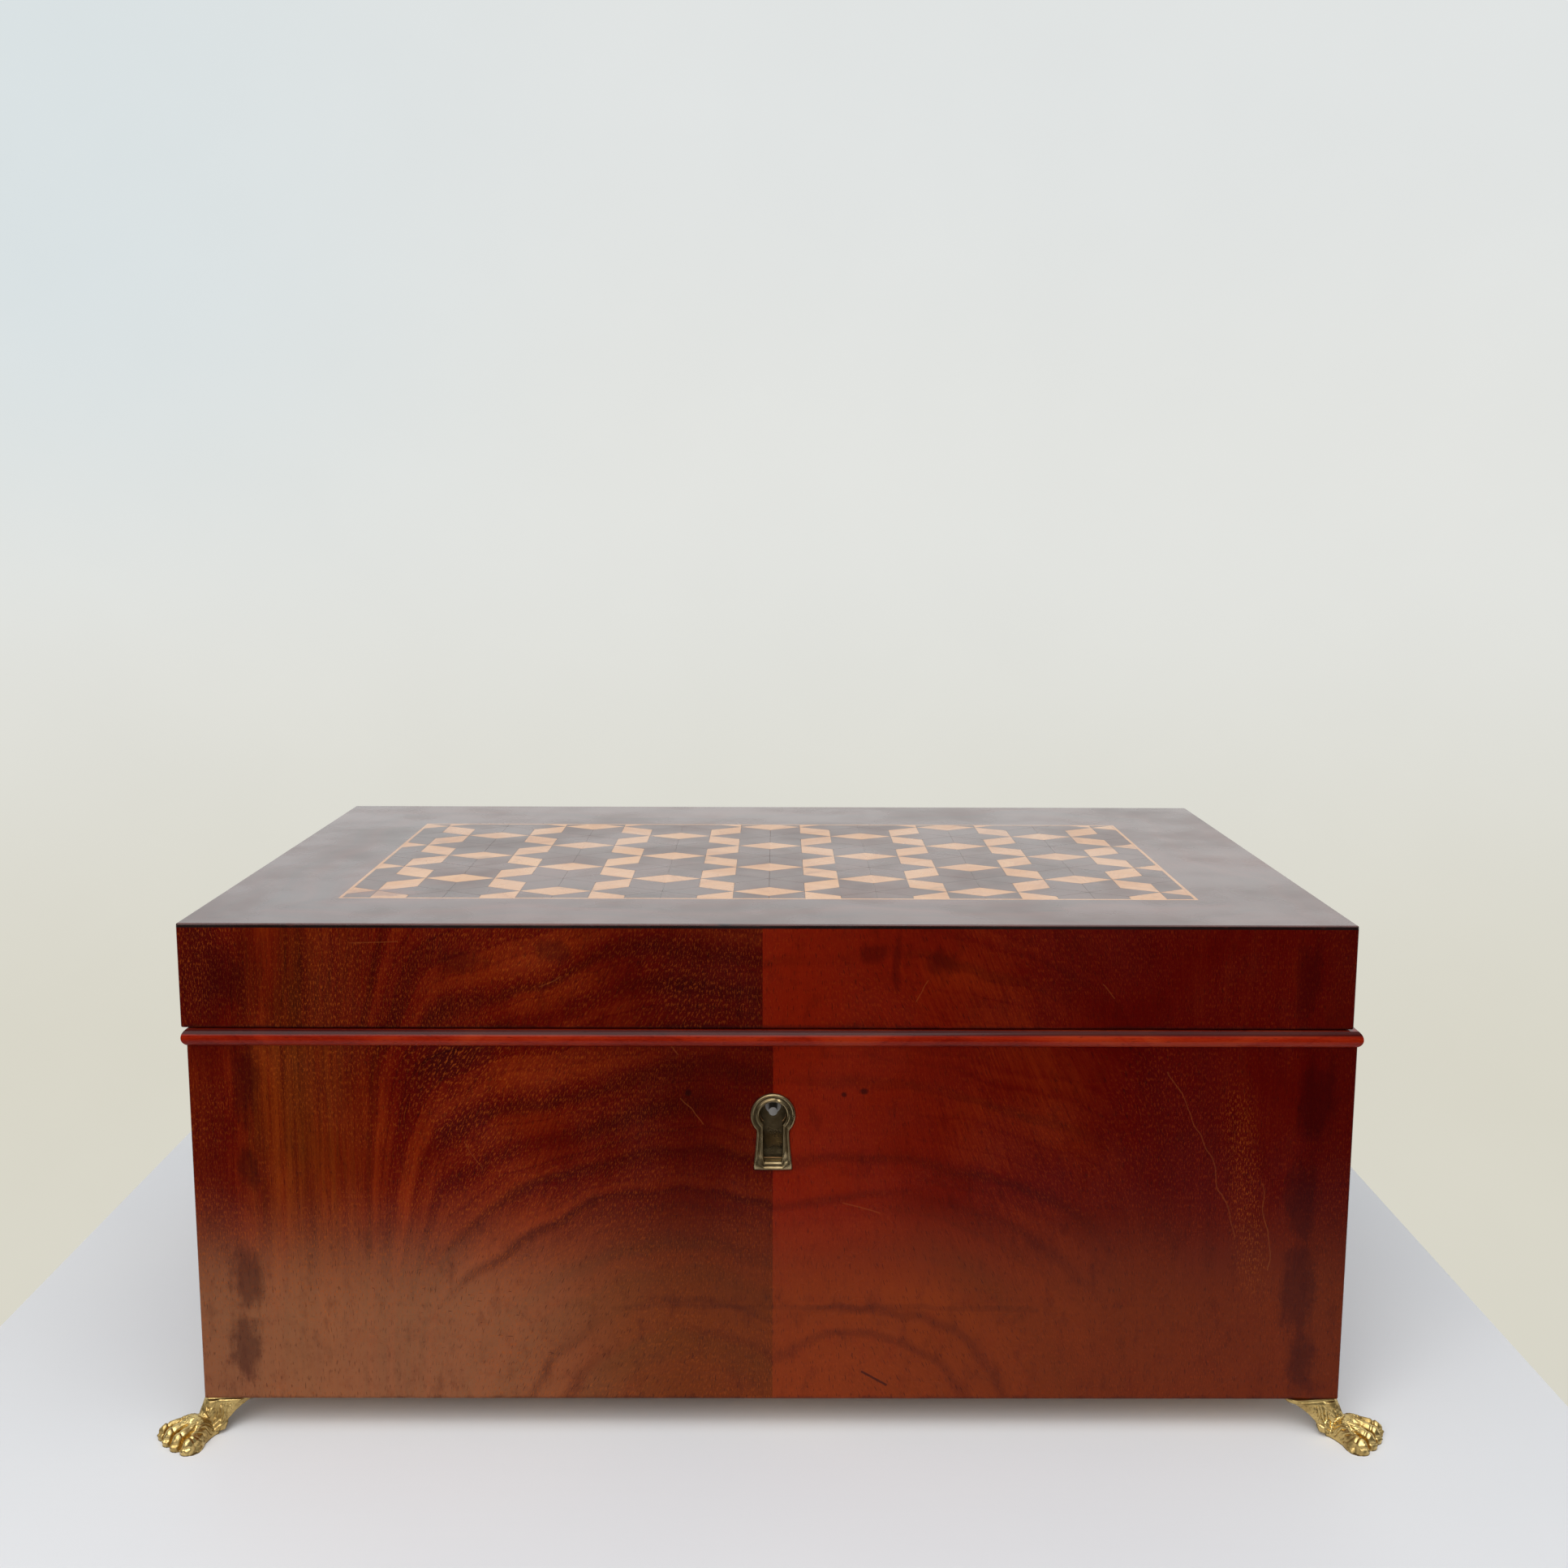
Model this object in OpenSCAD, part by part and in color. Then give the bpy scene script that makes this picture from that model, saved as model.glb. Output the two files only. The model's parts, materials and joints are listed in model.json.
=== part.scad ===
// Games compendium box: a veneered box on lion-paw feet, with a hinged lid inlaid with stars,
// a box lock and a lift-out tray. Millimetres. +X right, -Y the keyhole side, +Z up, and the
// origin on the surface that the box stands on, under its middle.

/* [Box] */
// Width over the side veneers
box_w = 330; // [300:1:360]
// Depth over the front and back veneers
box_d = 202; // [190:1:220]
// Height of the veneered walls
wall_h = 106.4; // [100:0.2:115]
// Thickness of the carcass boards
wall_t = 9; // [8:0.5:10]
// Thickness of the wall veneers
veneer_t = 1; // [0.6:0.1:1.4]
// Thickness of the bottom board
bottom_t = 7; // [5:0.5:9]
// Height of the bead round the rim
bead_h = 4.6; // [3.8:0.1:6]
// How far the bead's nose stands out of the walls
bead_nose = 1.2; // [0.8:0.1:1.8]
// Join between the two front leaves, from the middle of the box
front_join_x = 0; // [-4:0.1:4]

/* [Lid] */
// Height of the lid
lid_h = 30; // [27:0.5:36]
// Gap between the bead and the closed lid
lid_gap = 0.5; // [0.3:0.1:0.9]
// Thickness of the lid's rails
rail_t = 8; // [7:0.5:9]
// Thickness of the lid's top panel
panel_t = 8; // [6:0.5:9]
// Thickness of the veneers and tiles on the top
top_veneer_t = 1.2; // [0.8:0.1:1.6]
// How far the lid sits to the right of the walls, less than 0 for the left
lid_shift = -1.4; // [-2:0.1:2]
// Join between the lid's front leaves, from the middle of the lid
lid_join_x = -1.6; // [-4:0.1:4]

/* [Star parquetry] */
// Width of the inlaid field over its stringing
field_w = 256.4; // [200:0.2:270]
// Depth of the inlaid field over its stringing
field_d = 128.6; // [100:0.2:140]
// How far the field lies behind the middle of the lid
field_shift_y = -3.9; // [-8:0.1:8]
// How far the middle star lies behind the middle of the field
star_shift_y = 2.7; // [-6:0.1:6]
// Side of every rhombus
rhombus_side = 12.5; // [10:0.1:16]
// Width of the stringing
stringing_w = 1; // [0.6:0.1:2]
// Glue line between neighbouring tiles
glue_line = 0.1; // [0.06:0.02:0.3]

/* [Feet] */
// Height of the feet
foot_h = 10.5; // [9.5:0.1:14]
// Thickness of a foot's wings
wing_t = 1.2; // [1:0.1:1.6]
// Width of a wing
wing_w = 7; // [6:0.1:8]
// Length of a wing from the corner of the box
wing_l = 14.5; // [13:0.1:20]
// How far the wings stay inside the walls' faces
wing_inset = 0.6; // [0.4:0.1:1.2]
// Thickness of the leg at the ankle
ankle_d = 5.6; // [5:0.1:6.4]
// Length of the paw from the corner of the box to the longest toes
paw_l = 12.6; // [11:0.1:15]
// Width of the paw over its toes
paw_w = 17.4; // [15:0.1:19]
// Height of the instep
instep_h = 6.2; // [5.8:0.1:7]
// Height of the toes
toe_h = 5.2; // [4.4:0.1:5.6]
// Length of a claw
claw_l = 2.2; // [1.6:0.1:2.6]
// Turn of the front left and back right feet towards the box's ends, in degrees
turn_left = -4; // [-6:1:8]
// Turn of the front right and back left feet towards the box's ends, in degrees
turn_right = 8; // [-6:1:8]
// Shank of the foot screws
foot_screw_d = 2; // [1.6:0.1:2.2]
// Length of the foot screws' shanks
foot_screw_l = 9; // [6:0.5:12]

/* [Escutcheon] */
// Height of the keyhole plate
plate_h = 22.6; // [21:0.1:24]
// Diameter of its round head
head_d = 12.8; // [12:0.1:14]
// Width of its tail at the neck
neck_w = 9.3; // [9:0.1:10]
// Width of its tail at the foot
tail_w = 11.1; // [10.4:0.1:12]
// Diameter of the keyhole's round part
keyhole_d = 7.6; // [7:0.1:8]
// Width of the keyhole's slot
slot_w = 5.3; // [4.8:0.1:5.6]
// How far the rim stands out of the veneer
rim_proud = 0.8; // [0.4:0.1:1.2]
// How deep the plate is let into the front
rim_depth = 2.4; // [1.6:0.1:2.8]
// Height of the keyhole's centre above the underside of the walls
key_z = 86.2; // [80:0.2:88]

/* [Lock] */
// Width of the lock
lock_w = 49; // [47:0.5:56]
// Thickness of the lock's plates
lock_plate_t = 1.6; // [1.4:0.1:2]
// Depth of the lock's cap behind its back plate
cap_d = 5.4; // [5:0.1:5.8]
// Wall of the lock's cap
cap_t = 1; // [0.8:0.1:1.2]
// Reach of the lock below the keyhole's centre
lock_below = 15; // [14.8:0.1:18]
// Diameter of the drill pin
pin_d = 2.5; // [2.2:0.1:2.8]
// Thickness of the bolt
bolt_t = 1.8; // [1.6:0.1:2]
// Travel of the bolt
bolt_throw = 5; // [4:0.1:5.5]
// Play round the bolt's guides and in the link plate's staples
lock_play = 0.25; // [0.2:0.05:0.4]
// Radius at which the key's bit meets the bolt
bit_r = 8; // [7.5:0.1:8.5]

/* [Hinges] */
// Width of a hinge
hinge_w = 34; // [30:1:40]
// Diameter of the knuckles
knuckle_d = 4.4; // [4.2:0.1:5]
// Diameter of the hinge pins
hinge_pin_d = 2; // [1.8:0.1:2.2]
// Thickness of the leaves
leaf_t = 1.2; // [1:0.1:1.4]
// Reach of a leaf from the pin
leaf_l = 8.6; // [8:0.1:8.8]
// Distance between the middles of the two hinges
hinge_span = 220; // [180:1:250]
// Shank of the hinge screws
hinge_screw_d = 1.8; // [1.6:0.1:2]

/* [Inside] */
// Thickness of the linings
lining_t = 0.6; // [0.4:0.1:1]
// Thickness of the dividers in the base
divider_t = 4; // [3:0.5:6]
// Height of the dividers in the base
divider_h = 46; // [30:1:55]
// Thickness of the tray's boards
tray_t = 4; // [3:0.5:6]
// Height of the tray
tray_h = 32; // [24:1:40]
// Play round the tray
tray_play = 0.8; // [0.5:0.1:1.5]
// Thickness of the tray's floor
tray_floor_t = 2.5; // [2:0.5:4]
// Radius of the finger notches in the tray's ends
notch_r = 12; // [10:1:14]
// Width of the ledges that carry the tray
bearer_w = 6; // [5:0.5:8]
// Height of the ledges that carry the tray
bearer_h = 8; // [6:0.5:10]

/* [Hidden] */
$fn = 48;

// Play of a screw or a pin in its hole, on the diameter
hole_play = 0.1;
// Cuts run this far past the face that they open
past = 1;
// Play round what is let into the wood
inlay_play = 0.05;
// Gap under what may be lifted or slid
seat_gap = 0.1;

// Levels, from the floor up
z_under = foot_h;
z_wall = z_under + wall_h;
z_rim = z_wall + bead_h;
z_lid = z_rim + lid_gap;
z_top = z_lid + lid_h;
z_panel = z_top - top_veneer_t - panel_t;
z_hinge = z_rim + lid_gap / 2;
z_key = z_under + key_z;
z_floor = z_under + bottom_t + lining_t;
z_tray = z_rim - 1 - tray_h;

// Half sizes in plan: over the veneers, over the boards, and of the hollow
half_w = box_w / 2;
half_d = box_d / 2;
board_x = half_w - veneer_t;
board_y = half_d - veneer_t;
hollow_x = board_x - wall_t;
hollow_y = board_y - wall_t;
// What a rebate leaves of a board
lap = wall_t / 2;

BRASS = "goldenrod";
OLD_BRASS = "darkgoldenrod";
STEEL = "dimgray";
MAHOGANY = "saddlebrown";
DARK_MAHOGANY = "maroon";
PINE = "burlywood";
CEDAR = "sienna";
PALE_WOOD = "bisque";
BAIZE = "darkgreen";

// A box from one corner to the opposite one
module block(from, to) {
    translate(from) cube(to - from);
}

// A shaft or a hole whose axis runs along Y, from y0 to y1
module shaft_y(x, z, d, y0, y1) {
    translate([x, y0, z]) rotate([-90, 0, 0]) cylinder(d = d, h = y1 - y0);
}

module mirror_copy(axis) {
    children();
    mirror(axis) children();
}

// Carcass

module bottom_space() {
    x = hollow_x + wall_t - lap;
    y = hollow_y + wall_t - lap;
    block([-x, -y, z_under], [x, y, z_under + bottom_t]);
}

// The front board. The back board is the same one, turned round.
module long_board() {
    difference() {
        block([-board_x, -board_y, z_under], [board_x, -hollow_y, z_wall]);
        mirror_copy([1, 0, 0])
            block([hollow_x, -board_y + lap, z_under - past], [board_x + past, past, z_wall + past]);
        bottom_space();
    }
}

module end_board() {
    difference() {
        block([hollow_x, -board_y + lap, z_under], [board_x, board_y - lap, z_wall]);
        bottom_space();
    }
}

module carcass_front() {
    color(PINE) difference() {
        long_board();
        lock_space();
        lock_ear_space();
        escutcheon_space();
        keyhole(-board_y - past, lock_y0 + past, keyhole_d, slot_w);
        foot_screw_holes();
    }
}

module carcass_back() {
    color(PINE) difference() {
        rotate(180) long_board();
        hinge_screw_holes(-1);
        foot_screw_holes();
    }
}

module carcass_left() {
    color(PINE) difference() {
        mirror([1, 0, 0]) end_board();
        foot_screw_holes();
    }
}

module carcass_right() {
    color(PINE) difference() {
        end_board();
        foot_screw_holes();
    }
}

module bottom_board() {
    color(PINE) difference() {
        bottom_space();
        foot_screw_holes();
    }
}

// Wall veneers

module front_leaf(x0, x1) {
    color(MAHOGANY) difference() {
        block([x0, -half_d, z_under], [x1, -board_y, z_wall]);
        escutcheon_space();
    }
}

module front_veneer_left() front_leaf(-half_w, front_join_x);

module front_veneer_right() front_leaf(front_join_x, half_w);

module back_veneer() {
    color(MAHOGANY) block([-half_w, board_y, z_under], [half_w, half_d, z_wall]);
}

module side_veneer() {
    color(MAHOGANY) block([board_x, -board_y, z_under], [half_w, board_y, z_wall]);
}

module side_veneer_left() mirror([1, 0, 0]) side_veneer();

module side_veneer_right() side_veneer();

// Bead: a strip on the walls' top edge with a rounded nose, mitred at the corners

bead_r = (pow(bead_h / 2, 2) + pow(bead_nose, 2)) / (2 * bead_nose);

// Along the front, from end to end and before the mitres, where half is the half length
module bead_strip(half_length, half_depth) {
    nose_y = -half_depth - bead_nose + bead_r;
    block([-half_length, -half_depth, z_wall], [half_length, -half_depth + veneer_t + wall_t, z_rim]);
    intersection() {
        translate([-half_length, nose_y, z_wall + bead_h / 2])
            rotate([0, 90, 0])
                cylinder(r = bead_r, h = 2 * half_length, $fn = 96);
        block([-half_length, -half_depth - bead_nose - past, z_wall],
            [half_length, -half_depth, z_rim]);
    }
}

// The mitre keeps what lies inside 45 degrees at both ends
module mitred(half_length, half_depth) {
    reach = half_length + bead_nose;
    tip = -half_depth - bead_nose;
    deep = veneer_t + wall_t + bead_nose;
    intersection() {
        children();
        translate([0, 0, z_wall - past])
            linear_extrude(bead_h + 2 * past)
                polygon([[-reach, tip], [reach, tip], [reach - deep, tip + deep], [-reach + deep, tip + deep]]);
    }
}

module bead_front() {
    color(DARK_MAHOGANY) difference() {
        mitred(half_w, half_d) bead_strip(half_w + bead_nose, half_d);
        lock_space();
    }
}

module bead_back() {
    color(DARK_MAHOGANY) difference() {
        rotate(180) mitred(half_w, half_d) bead_strip(half_w + bead_nose, half_d);
        hinge_recesses(-1);
        hinge_screw_holes(-1);
    }
}

module bead_sides() {
    color(DARK_MAHOGANY) for (turn = [90, 270])
        rotate(turn) mitred(half_d, half_w) bead_strip(half_d + bead_nose, half_w);
}

// Keyhole and its escutcheon

// Keyhole outline from y0 to y1: a round head over a tail that widens downward
module keyhole(y0, y1, d, neck, foot = undef, drop = undef) {
    w = is_undef(foot) ? neck : foot;
    deep = is_undef(drop) ? tail_drop - (head_d - keyhole_d) / 2 : drop;
    shaft_y(0, z_key, d, y0, y1);
    translate([0, y1, z_key]) rotate([90, 0, 0])
        linear_extrude(y1 - y0)
            polygon([[-neck / 2, 0], [neck / 2, 0], [neck / 2, -d / 2], [w / 2, -deep], [-w / 2, -deep],
                [-neck / 2, -d / 2]]);
}

// From the keyhole's centre to the bottom of the plate
tail_drop = plate_h - head_d / 2;
// Width of the brass round the keyhole, and of the low step along both its edges
rim_w = (head_d - keyhole_d) / 2;
step_w = rim_w / 4;

module escutcheon_body(y0, y1, shrink) {
    keyhole(y0, y1, head_d - 2 * shrink, neck_w - 2 * shrink, tail_w - 2 * shrink, tail_drop - shrink);
}

module escutcheon_space() {
    escutcheon_body(-half_d - past, -half_d + rim_depth + inlay_play, -inlay_play);
}

module escutcheon() {
    color(OLD_BRASS) difference() {
        union() {
            escutcheon_body(-half_d - rim_proud / 2, -half_d + rim_depth, 0);
            escutcheon_body(-half_d - rim_proud, -half_d, step_w);
        }
        keyhole(-half_d - past - rim_proud, -half_d + rim_depth + past, keyhole_d, slot_w);
        escutcheon_body(-half_d - rim_proud - past, -half_d - rim_proud / 2, rim_w - step_w);
    }
}

// Lock: back plate flush with the inside of the front, selvedge flush with the rim

plate_y0 = -hollow_y - lock_plate_t;
lock_y0 = plate_y0 - cap_d;
z_selvedge = z_rim - lock_plate_t;
z_lock = z_key - lock_below;
cap_x = lock_w / 2 - cap_t;
// Ears of the back plate, left and right of the cap, with the lock's screws
ear_w = 5;
lock_screw_d = 1.8;
lock_screw_l = 6;
lock_screw_drop = 7;
// Foot of the drill pin, riveted to the back plate
pin_foot_d = pin_d + 2;
pin_foot_t = 0.6;
// The bolt lies midway between the cap's front and the back plate
bolt_y0 = (lock_y0 + cap_t + plate_y0 - bolt_t) / 2;
bolt_y1 = bolt_y0 + bolt_t;
// The bolt's bar is just above the drill pin, where the key's bit turns in its talon
talon_r = 2.6;
bar_z0 = z_key + bit_r - talon_r / 2;
bar_h = 7;
// Staples of the link plate, from their middles
staple_x = [-8, 12];
staple_t = 2;
staple_wall = 0.7;
staple_w = bolt_t + 2 * lock_play + 2 * staple_wall;
staple_y0 = (bolt_y0 + bolt_y1 - staple_w) / 2;
staple_y1 = staple_y0 + staple_w;
// The bolt's prongs lie under the selvedge and stop short of the staples when it is drawn back
prong_gap = 0.8;
prong_h = 3;
prong_l = bolt_throw + prong_gap;
prong_z1 = z_selvedge - 1.2;
prong_z0 = prong_z1 - prong_h;
arm_w = 3.4;
function prong_tip(x) = x - staple_t / 2 - prong_gap;
bar_x0 = prong_tip(staple_x[0]) - prong_l - arm_w;
bar_x1 = 12;
// Studs on the back plate that the bolt slides on, each with a collar behind the bolt
guide_x = [-9, 9];
guide_d = 2.4;
collar_d = 4.4;
guide_z = bar_z0 + bar_h / 2;

module lock_space() {
    block([-lock_w / 2 - inlay_play, lock_y0 - inlay_play, z_lock - inlay_play],
        [lock_w / 2 + inlay_play, -hollow_y + past, z_rim + past]);
}

module lock_ear_space() {
    x = lock_w / 2 + ear_w + inlay_play;
    block([-x, plate_y0 - inlay_play, z_lock - inlay_play], [x, -hollow_y + past, z_wall + past]);
    lock_screw_places() lock_screw(hole_play);
}

module lock_screw_places() {
    for (side = [-1, 1], z = [z_lock + ear_w, z_wall - lock_screw_drop])
        translate([side * (lock_w + ear_w) / 2, -hollow_y, z])
            children();
}

// Driven towards the front, with a countersunk head flush with the back plate
module lock_screw(play) {
    rotate([90, 0, 0]) {
        cylinder(d = lock_screw_d + play, h = lock_screw_l + play);
        cylinder(d1 = 2 * lock_screw_d + play, d2 = lock_screw_d + play, h = lock_screw_d / 2);
    }
}

module lock_screws() {
    color(STEEL) lock_screw_places() lock_screw(0);
}

module lock_plate() {
    color(OLD_BRASS) {
        difference() {
            union() {
                block([-lock_w / 2, plate_y0, z_lock], [lock_w / 2, -hollow_y, z_selvedge]);
                block([-lock_w / 2 - ear_w, plate_y0, z_lock], [lock_w / 2 + ear_w, -hollow_y, z_wall]);
                block([-lock_w / 2, lock_y0, z_selvedge], [lock_w / 2, -hollow_y, z_rim]);
                for (x = guide_x) {
                    shaft_y(x, guide_z, guide_d, bolt_y0 - lock_play, plate_y0 + lock_plate_t / 2);
                    shaft_y(x, guide_z, collar_d, bolt_y1 + seat_gap, plate_y0 + lock_plate_t / 2);
                }
            }
            for (x = staple_x)
                block([x - staple_t / 2 - lock_play, staple_y0 - 2 * lock_play, z_selvedge - past],
                    [x + staple_t / 2 + lock_play, staple_y1 + lock_play, z_rim + past]);
            lock_screw_places() lock_screw(hole_play);
        }
    }
}

// A five-sided cap between the back plate and the wood of the front
module lock_cap() {
    color(OLD_BRASS) difference() {
        block([-lock_w / 2, lock_y0, z_lock], [lock_w / 2, plate_y0, z_selvedge]);
        block([-cap_x, lock_y0 + cap_t, z_lock + cap_t], [cap_x, plate_y0 + past, z_selvedge + past]);
        keyhole(lock_y0 - past, plate_y0, keyhole_d, slot_w);
    }
}

module lock_drill_pin() {
    color(STEEL) {
        shaft_y(0, z_key, pin_d, lock_y0, plate_y0 - pin_foot_t);
        shaft_y(0, z_key, pin_foot_d, plate_y0 - pin_foot_t, plate_y0);
    }
}

// A bent leaf that hangs from the selvedge between the prongs and bears down on the bolt's bar
spring_t = 0.5;
spring_x = -1;
spring_l = 9;
spring_dip = 4;
spring_rise = 1.6;

module lock_spring() {
    t = spring_t;
    tip_x = spring_x - spring_l;
    dip_x = spring_x - spring_dip;
    z = bar_z0 + bar_h + seat_gap;
    color(STEEL) translate([0, bolt_y1 - lock_play, 0]) rotate([90, 0, 0])
        linear_extrude(bolt_t - 2 * lock_play)
            polygon([[spring_x, z_selvedge], [spring_x, z + 1], [dip_x, z], [tip_x, z + spring_rise],
                [tip_x, z + spring_rise + t], [dip_x, z + t], [spring_x - t, z + 1 + t],
                [spring_x - t, z_selvedge]]);
}

module lock_bolt() {
    color(OLD_BRASS) difference() {
        union() {
            block([bar_x0, bolt_y0, bar_z0], [bar_x1, bolt_y1, bar_z0 + bar_h]);
            for (x = staple_x) {
                block([prong_tip(x) - prong_l - arm_w, bolt_y0, bar_z0 + bar_h],
                    [prong_tip(x) - prong_l, bolt_y1, prong_z1]);
                block([prong_tip(x) - prong_l, bolt_y0, prong_z0], [prong_tip(x), bolt_y1, prong_z1]);
            }
        }
        shaft_y(0, bar_z0, 2 * talon_r, bolt_y0 - past, bolt_y1 + past);
        for (x = guide_x) guide_slot(x);
    }
}

// The bolt travels to the right, so its slots run to the left of the guides
module guide_slot(x) {
    d = guide_d + 2 * lock_play;
    for (shift = [-bolt_throw, 0])
        shaft_y(x + shift, guide_z, d, bolt_y0 - past, bolt_y1 + past);
    block([x - bolt_throw, bolt_y0 - past, guide_z - d / 2], [x, bolt_y1 + past, guide_z + d / 2]);
}

// Link plate on the lid's front rail, with a staple for each prong

link_plate_t = 1.2;
link_screw_x = 19;
link_screw_d = 1.8;
link_screw_l = 8;

module link_plate() {
    color(OLD_BRASS) difference() {
        union() {
            block([-lock_w / 2, lock_y0, z_lid], [lock_w / 2, -cavity_y, z_lid + link_plate_t]);
            for (x = staple_x)
                block([x - staple_t / 2, staple_y0, prong_z0 - lock_play - 1.2],
                    [x + staple_t / 2, staple_y1, z_lid]);
        }
        for (x = staple_x)
            block([x - staple_t, bolt_y0 - lock_play, prong_z0 - lock_play],
                [x + staple_t, bolt_y1 + lock_play, prong_z1 + lock_play]);
        link_screw_places() countersunk_screw(link_screw_d + hole_play, link_plate_t + past);
    }
}

module link_screw_places() {
    for (side = [-1, 1])
        translate([side * link_screw_x, (lock_y0 - cavity_y) / 2, z_lid]) children();
}

// A countersunk screw that is driven up from z = 0
module countersunk_screw(d, l) {
    cylinder(d = d, h = l);
    cylinder(d1 = 2 * d, d2 = d, h = d / 2);
}

module link_screws() {
    color(STEEL) link_screw_places() countersunk_screw(link_screw_d, link_screw_l);
}

// Hinges: five knuckles on a pin that runs along the back edge at the parting line

knuckles = 5;
knuckle_gap = 0.1;
knuckle_w = hinge_w / knuckles;
recess_play = 0.3;
hinge_y = half_d;

module hinge_places() {
    for (side = [-1, 1])
        translate([side * hinge_span / 2, hinge_y, z_hinge]) children();
}

// The lower leaf is flush with the rim and the upper one with the lid's edge
module leaf_block(up, x0, x1, y0, y1, play = 0) {
    mirror([0, 0, up > 0 ? 0 : 1])
        block([x0 - play, y0 - play, lid_gap / 2], [x1 + play, y1 + play, lid_gap / 2 + leaf_t + play]);
}

// up is 1 for the lid's leaf and -1 for the box's leaf
module hinge_leaf(up) {
    first = up > 0 ? 1 : 0;
    difference() {
        union() {
            leaf_block(up, -hinge_w / 2, hinge_w / 2, -leaf_l, -knuckle_d / 2 - recess_play);
            for (i = [first:2:knuckles - 1]) {
                x0 = -hinge_w / 2 + i * knuckle_w + knuckle_gap / 2;
                x1 = x0 + knuckle_w - knuckle_gap;
                leaf_block(up, x0, x1, -knuckle_d / 2 - recess_play, 0);
                translate([x0, 0, 0]) rotate([0, 90, 0]) cylinder(d = knuckle_d, h = x1 - x0);
            }
        }
        translate([-hinge_w / 2 - past, 0, 0]) rotate([0, 90, 0])
            cylinder(d = hinge_pin_d + hole_play, h = hinge_w + 2 * past);
        hinge_screw_spots() hinge_screw(up, hole_play);
    }
}

// Room in the wood for a leaf and for all the knuckles
module hinge_recesses(up) {
    hinge_places() {
        leaf_block(up, -hinge_w / 2, hinge_w / 2, -leaf_l, 0, inlay_play);
        leaf_block(up, -hinge_w / 2, hinge_w / 2, -leaf_l, past);
        translate([-hinge_w / 2 - recess_play, 0, 0]) rotate([0, 90, 0])
            cylinder(d = knuckle_d + 2 * recess_play, h = hinge_w + 2 * recess_play);
    }
}

hinge_screw_l = 10;
hinge_screw_pitch = hinge_w * 0.36;

module hinge_screw_spots() {
    for (x = [-1, 0, 1] * hinge_screw_pitch)
        translate([x, -(leaf_l + knuckle_d / 2) / 2 - 0.2, 0]) children();
}

module hinge_screw(up, play = 0) {
    mirror([0, 0, up > 0 ? 0 : 1]) translate([0, 0, lid_gap / 2])
        countersunk_screw(hinge_screw_d + play, hinge_screw_l + play);
}

module hinge_screw_holes(up) {
    hinge_places() hinge_screw_spots() hinge_screw(up, hole_play);
}

module hinge_leaves_lower() color(BRASS) hinge_places() hinge_leaf(-1);

module hinge_leaves_upper() color(BRASS) hinge_places() hinge_leaf(1);

module hinge_screws_lower() color(STEEL) hinge_places() hinge_screw_spots() hinge_screw(-1);

module hinge_screws_upper() color(STEEL) hinge_places() hinge_screw_spots() hinge_screw(1);

module hinge_pins() {
    color(STEEL) hinge_places() translate([-hinge_w / 2, 0, 0]) rotate([0, 90, 0])
        cylinder(d = hinge_pin_d, h = hinge_w);
}

// Lion-paw feet

// Corner of the box, which way it points, and the foot's turn. The sides are -1 or 1.
FEET = [
    [-1, -1, turn_left],
    [1, -1, turn_right],
    [-1, 1, turn_right],
    [1, 1, turn_left]
];

// Puts a foot that points along +X from the corner at the origin under its corner
module at_corner(foot) {
    translate([foot[0] * half_w, foot[1] * half_d, 0])
        mirror([foot[0] < 0 ? 1 : 0, 0, 0])
            mirror([0, foot[1] < 0 ? 1 : 0, 0])
                rotate(45 - foot[2])
                    children();
}

screw_head_h = 0.9;
screw_head_d = 3.4;
// From the corner to a wing's screw, along the wall and in from its face
wing_screw_l = wing_l - wing_w / 2 + 0.6;

// On the wings' centre lines
module wing_screw_places() {
    for (side = [-1, 1])
        rotate(side * 135)
            translate([wing_screw_l, side * (wing_w / 2 + wing_inset), foot_h - wing_t])
                children();
}

module foot_screw_holes() {
    for (foot = FEET) at_corner(foot) wing_screw_places()
        cylinder(d = foot_screw_d + hole_play, h = foot_screw_l + hole_play);
}

module foot_screws() {
    color(STEEL) for (foot = FEET) at_corner(foot) wing_screw_places() {
        cylinder(d = foot_screw_d, h = foot_screw_l);
        translate([0, 0, -screw_head_h]) cylinder(d = screw_head_d, h = screw_head_h);
    }
}

module wings() {
    for (side = [-1, 1])
        rotate(side * 135) mirror([0, side < 0 ? 1 : 0, 0])
            translate([0, wing_inset, foot_h - wing_t]) {
                translate([wing_inset, 0, 0]) cube([wing_l - wing_inset - wing_w / 2, wing_w, wing_t]);
                translate([wing_l - wing_w / 2, wing_w / 2, 0]) cylinder(d = wing_w, h = wing_t);
            }
}

// Eases from a to b as t goes from 0 to 1
function ease(a, b, t) = a + (b - a) * t * t * (3 - 2 * t);
function mix(a, b, t) = a + (b - a) * t;

// Two triangles for each cell of a grid of points, rows times columns
function cell_faces(a, b, c, d) = [[a, b, c], [a, c, d]];
function grid_faces(rows, columns) = [
    for (r = [0:rows - 2], c = [0:columns - 2], face = cell_faces(
        r * columns + c, r * columns + c + 1, (r + 1) * columns + c + 1, (r + 1) * columns + c)) face
];

// Leg: round in front, with a fin under each wing, and leaning out towards the paw
leg_rows = 8;
leg_columns = 24;
leg_z0 = 1.2;
// From the corner to the leg's middle, at its top and at its foot
leg_top_u = -3.2;
leg_foot_u = 1.1;
// How far a fin stands out of the ankle, at its foot and at its top
fin_foot = 3.8;
fin_top = 9;

function leg_radius(t, angle) =
    let (
        to_wing = max(0, cos(angle - 135), cos(angle + 135)),
        rise = max(0, (t - 0.3) / 0.7)
    )
    ankle_d / 2 + mix(fin_foot, fin_top, pow(rise, 1.6)) * pow(to_wing, 12);

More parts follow.
